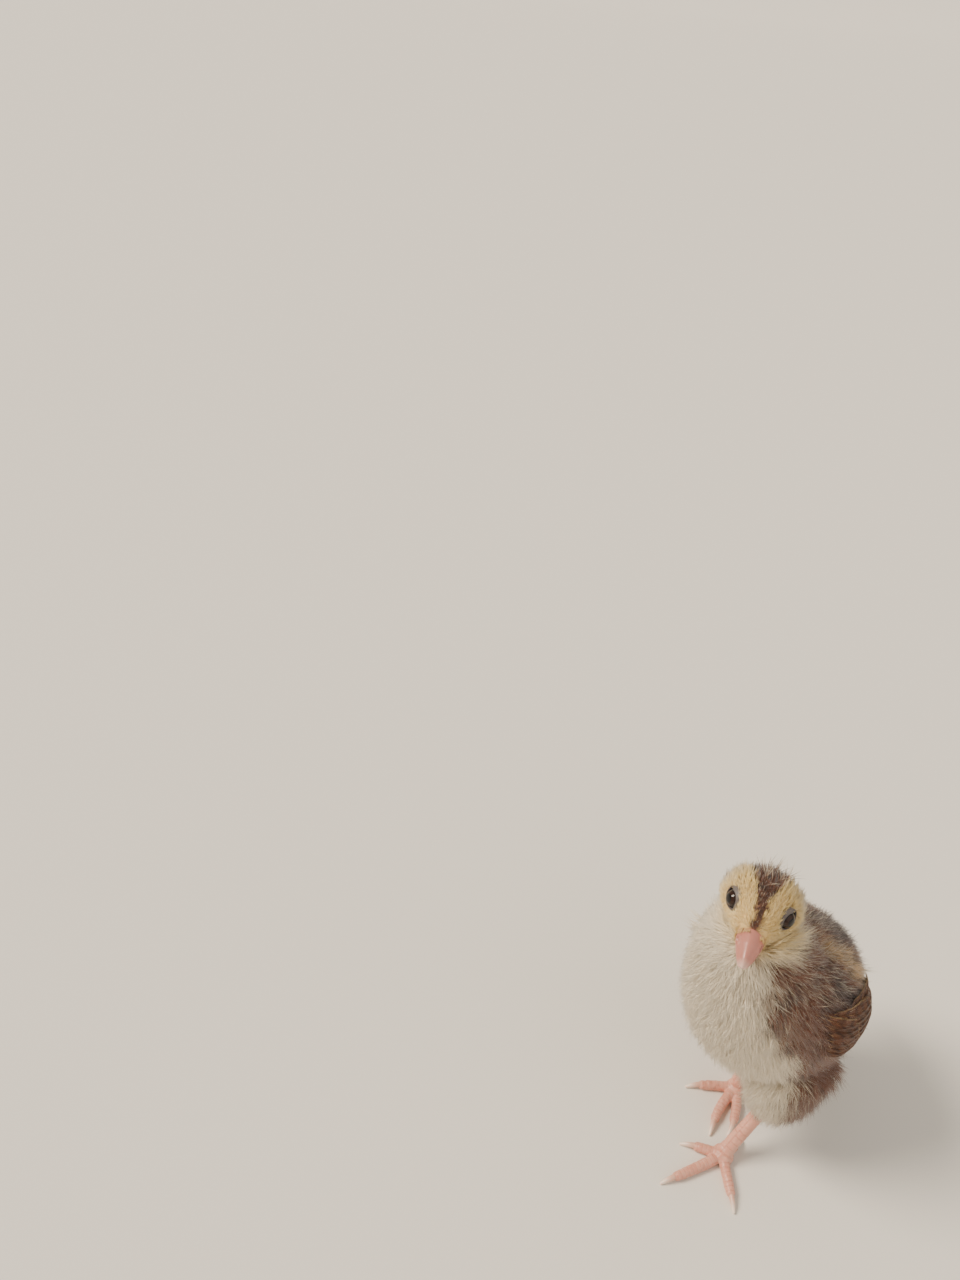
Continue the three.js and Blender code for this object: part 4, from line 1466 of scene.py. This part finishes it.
def show_feathers(name, feathers):
    """All the feathers of one group as one piece"""
    spines, widths, sides, bars, tone = (np.concatenate(parts) for parts in zip(*feathers))
    count = len(spines)
    t, turn = body_place(spines[:, 0])
    shares = {
        "yellow": np.zeros(count),
        "brown": np.ones(count),
        "dark": 0.42 + 0.42 * bars,
        "buff": np.where(bars < 0, 0.75, 0.05),
        "frost": np.ones(count),
        "own": lerp(tone, rng.uniform(0, 1, count), 0.2),
    }
    mesh = strand_mesh(name, spines, widths, sides, BARB_FLATNESS, shares, uv_at(t, turn))
    show(name, mesh, VANE, [])


# Tiers of wing feathers: where roots and tips lie along the wing, and how far they stand out
TIER_KEYS = ("count", "root", "low", "high", "spread", "half_width", "lift")
WING_TIERS = [
    dict(zip(TIER_KEYS, tier))
    for tier in (
        (8, 7.5, 23.0, 17.5, 0.84, 1.15, 0.3),
        (8, 3.4, 13.5, 11.0, 0.8, 1.05, 0.5),
        (7, 0.4, 7.4, 6.4, 0.7, 1.0, 0.65),
    )
]
WING_FAN = 0.72
WING_SHINGLE = 0.16

# How deep feather roots sink into the down at the shoulder, and how far back they come clear of it
ROOT_SINK = 1.5
ROOT_REACH = 5.0

WING_TUFTS = 900


def wing_feather(sign, tier, share):
    side = share * 2 - 1
    length = lerp(tier["low"], tier["high"], share) + rng.uniform(-0.4, 0.4) - tier["root"]

    def place(along, aside, above):
        run = along / length
        out = tier["root"] + along
        across = side * tier["spread"] * WING_HALF_WIDTH * lerp(1, WING_FAN, run) + aside
        lift = tier["lift"] * np.clip(run * 2.2, 0, 1) + side * WING_SHINGLE + above
        lift = lift - 0.12 - ROOT_SINK * ramp(out, ROOT_REACH, 0)
        return on_wing(sign, out, across, wing_stand(out, across) + lift)

    return feather(place, length, tier["half_width"])


def wing_down(name, sign):
    """Short down over the wing, between and over the roots of its feathers"""
    draws = spread_evenly(WING_TUFTS, 7)
    along = lerp(-0.5, WING_LENGTH + 0.5, draws[:, 0])
    across = lerp(-1, 1, draws[:, 1]) * WING_HALF_WIDTH * wing_taper(along)
    kept = off_wing(along, across) < 1.05
    along, across = along[kept], across[kept]
    stand = wing_stand(along, across)
    root, normal, _ = nearest_skin(on_wing(sign, along, across, stand - WING_FLESH))
    lie = on_wing(sign, along + 0.5, across, stand) - on_wing(sign, along, across, stand)
    t, turn = body_place(root)
    rear = ramp(along - across, 2, 11)
    spots = {
        "root": root,
        "normal": normal,
        "lie": unit(flatten(lie, normal)),
        "uv": uv_at(t, turn),
        "height": lerp(1.6, 1.0, rear),
        "length": lerp(4.0, 2.5, rear),
        "width": 0.06,
        "frost": 0.05,
    }
    show_coat(f"coat_wing_{name}", spots, "body")


TAIL_FEATHERS = 9
TAIL_FAN = 30
TAIL_FEATHER_LENGTH = 7.2
TAIL_FEATHER_SPREAD = 2.2


def tail_feather(share):
    side = share * 2 - 1
    outward = unit(TAIL_TIP - TAIL_ROOT)
    leftward = unit(vec(1, 0, 0) - outward * outward[0])
    upward = np.cross(leftward, outward)
    upward = upward * np.sign(upward[2])
    fan = math.radians(side * TAIL_FAN)
    heading = outward * math.cos(fan) + leftward * math.sin(fan)
    across = np.cross(upward, heading)
    start = lerp(TAIL_TIP, TAIL_ROOT, 0.5) + leftward * side * TAIL_FEATHER_SPREAD
    start = start + upward * (1.3 - 1.1 * abs(side))

    def place(along, aside, above):
        return reached(start, (along, heading), (aside, across), (above, upward))

    return feather(place, TAIL_FEATHER_LENGTH - 1.2 * abs(side), 0.8)


def grow_feathers():
    for name, sign in SIDES.items():
        tiers = [
            wing_feather(sign, tier, number / (tier["count"] - 1))
            for tier in WING_TIERS
            for number in range(tier["count"])
        ]
        show_feathers(f"feathers_wing_{name}", tiers)
        wing_down(name, sign)
    tail = [tail_feather(number / (TAIL_FEATHERS - 1)) for number in range(TAIL_FEATHERS)]
    show_feathers("feathers_tail", tail)


grow_body()
grow_head()
grow_feathers()
finish_skin()
finish_bill()
for side_name, side_sign in SIDES.items():
    finish_leg(side_name, FEET[side_name])
    finish_claws(side_name, FEET[side_name])
    finish_eye(side_name, side_sign)
    finish_lids(side_name, side_sign)


# Studio
CAMERA_PLACE = vec(63.1, -93.1, 170.1)
CAMERA_HEADING = -62.0
CAMERA_DOWN = 35.28
CAMERA_ROLL = 5.5
LENS = 27.0

# Metres of seamless paper
FLOOR_REACH = 14.0
SWEEP_START = 7.0
SWEEP_RADIUS = 4.0


def view_axes(heading, down, roll):
    """Right, up and forward of a camera, from degrees of heading (from +Y), dip and roll"""
    a, d, r = math.radians(heading), math.radians(down), math.radians(roll)
    forward = vec(math.sin(a) * math.cos(d), math.cos(a) * math.cos(d), -math.sin(d))
    right = unit(np.cross(forward, vec(0, 0, 1)))
    up = np.cross(right, forward)
    return right * math.cos(r) + up * math.sin(r), up * math.cos(r) - right * math.sin(r), forward


def add_camera():
    right, up, forward = view_axes(CAMERA_HEADING, CAMERA_DOWN, CAMERA_ROLL)
    data = bpy.data.cameras.new("camera")
    data.lens = LENS
    data.sensor_width = 36.0
    data.clip_start = 0.005
    camera = bpy.data.objects.new("camera", data)
    turn = Matrix([Vector(right), Vector(up), Vector(-forward)]).transposed().to_4x4()
    camera.matrix_world = Matrix.Translation(TO_FRAME @ Vector(CAMERA_PLACE)) @ turn
    bpy.context.collection.objects.link(camera)
    bpy.context.scene.camera = camera


def add_light(name, place, spread, power, colour):
    """A wide soft light from far away that shines from a place towards the chick"""
    data = bpy.data.lights.new(name, "SUN")
    data.angle = math.radians(spread)
    data.energy = power
    data.color = linear(colour)[:3]
    lamp = bpy.data.objects.new(name, data)
    lamp.location = place
    aim = Vector((0, 0, 0.03)) - Vector(place)
    lamp.rotation_euler = aim.to_track_quat("-Z", "Y").to_euler()
    bpy.context.collection.objects.link(lamp)


def add_floor():
    """A floor that sweeps up into a backdrop far behind"""
    sheet = bmesh.new()
    bmesh.ops.create_grid(sheet, x_segments=8, y_segments=120, size=FLOOR_REACH)
    for point in sheet.verts:
        far = point.co.y - SWEEP_START
        if far > 0:
            bend = min(far / SWEEP_RADIUS, math.pi / 2)
            point.co.y = SWEEP_START + SWEEP_RADIUS * math.sin(bend)
            straight = max(0, far - SWEEP_RADIUS * math.pi / 2)
            point.co.z = SWEEP_RADIUS * (1 - math.cos(bend)) + straight
    turn = Matrix.Rotation(math.radians(-CAMERA_HEADING), 3, "Z")
    bmesh.ops.rotate(sheet, verts=sheet.verts, matrix=turn)
    mesh = bpy.data.meshes.new("floor")
    sheet.to_mesh(mesh)
    mesh.shade_smooth()
    mesh.materials.append(finished("studio_paper", studio_paper))
    floor = bpy.data.objects.new("floor", mesh)
    bpy.context.collection.objects.link(floor)


def light_studio():
    add_light("key", (-0.4, -0.7, 0.85), spread=24, power=4.0, colour="#fff1de")
    add_light("fill", (0.7, 0.2, 0.5), spread=70, power=0.6, colour="#f4ece6")
    world = bpy.data.worlds.new("studio")
    world.use_nodes = True
    look = {"Color": "#e4ddd2", "Strength": 0.85}
    feed(world.node_tree, world.node_tree.nodes["Background"], look)
    bpy.context.scene.world = world


add_camera()
add_floor()
light_studio()
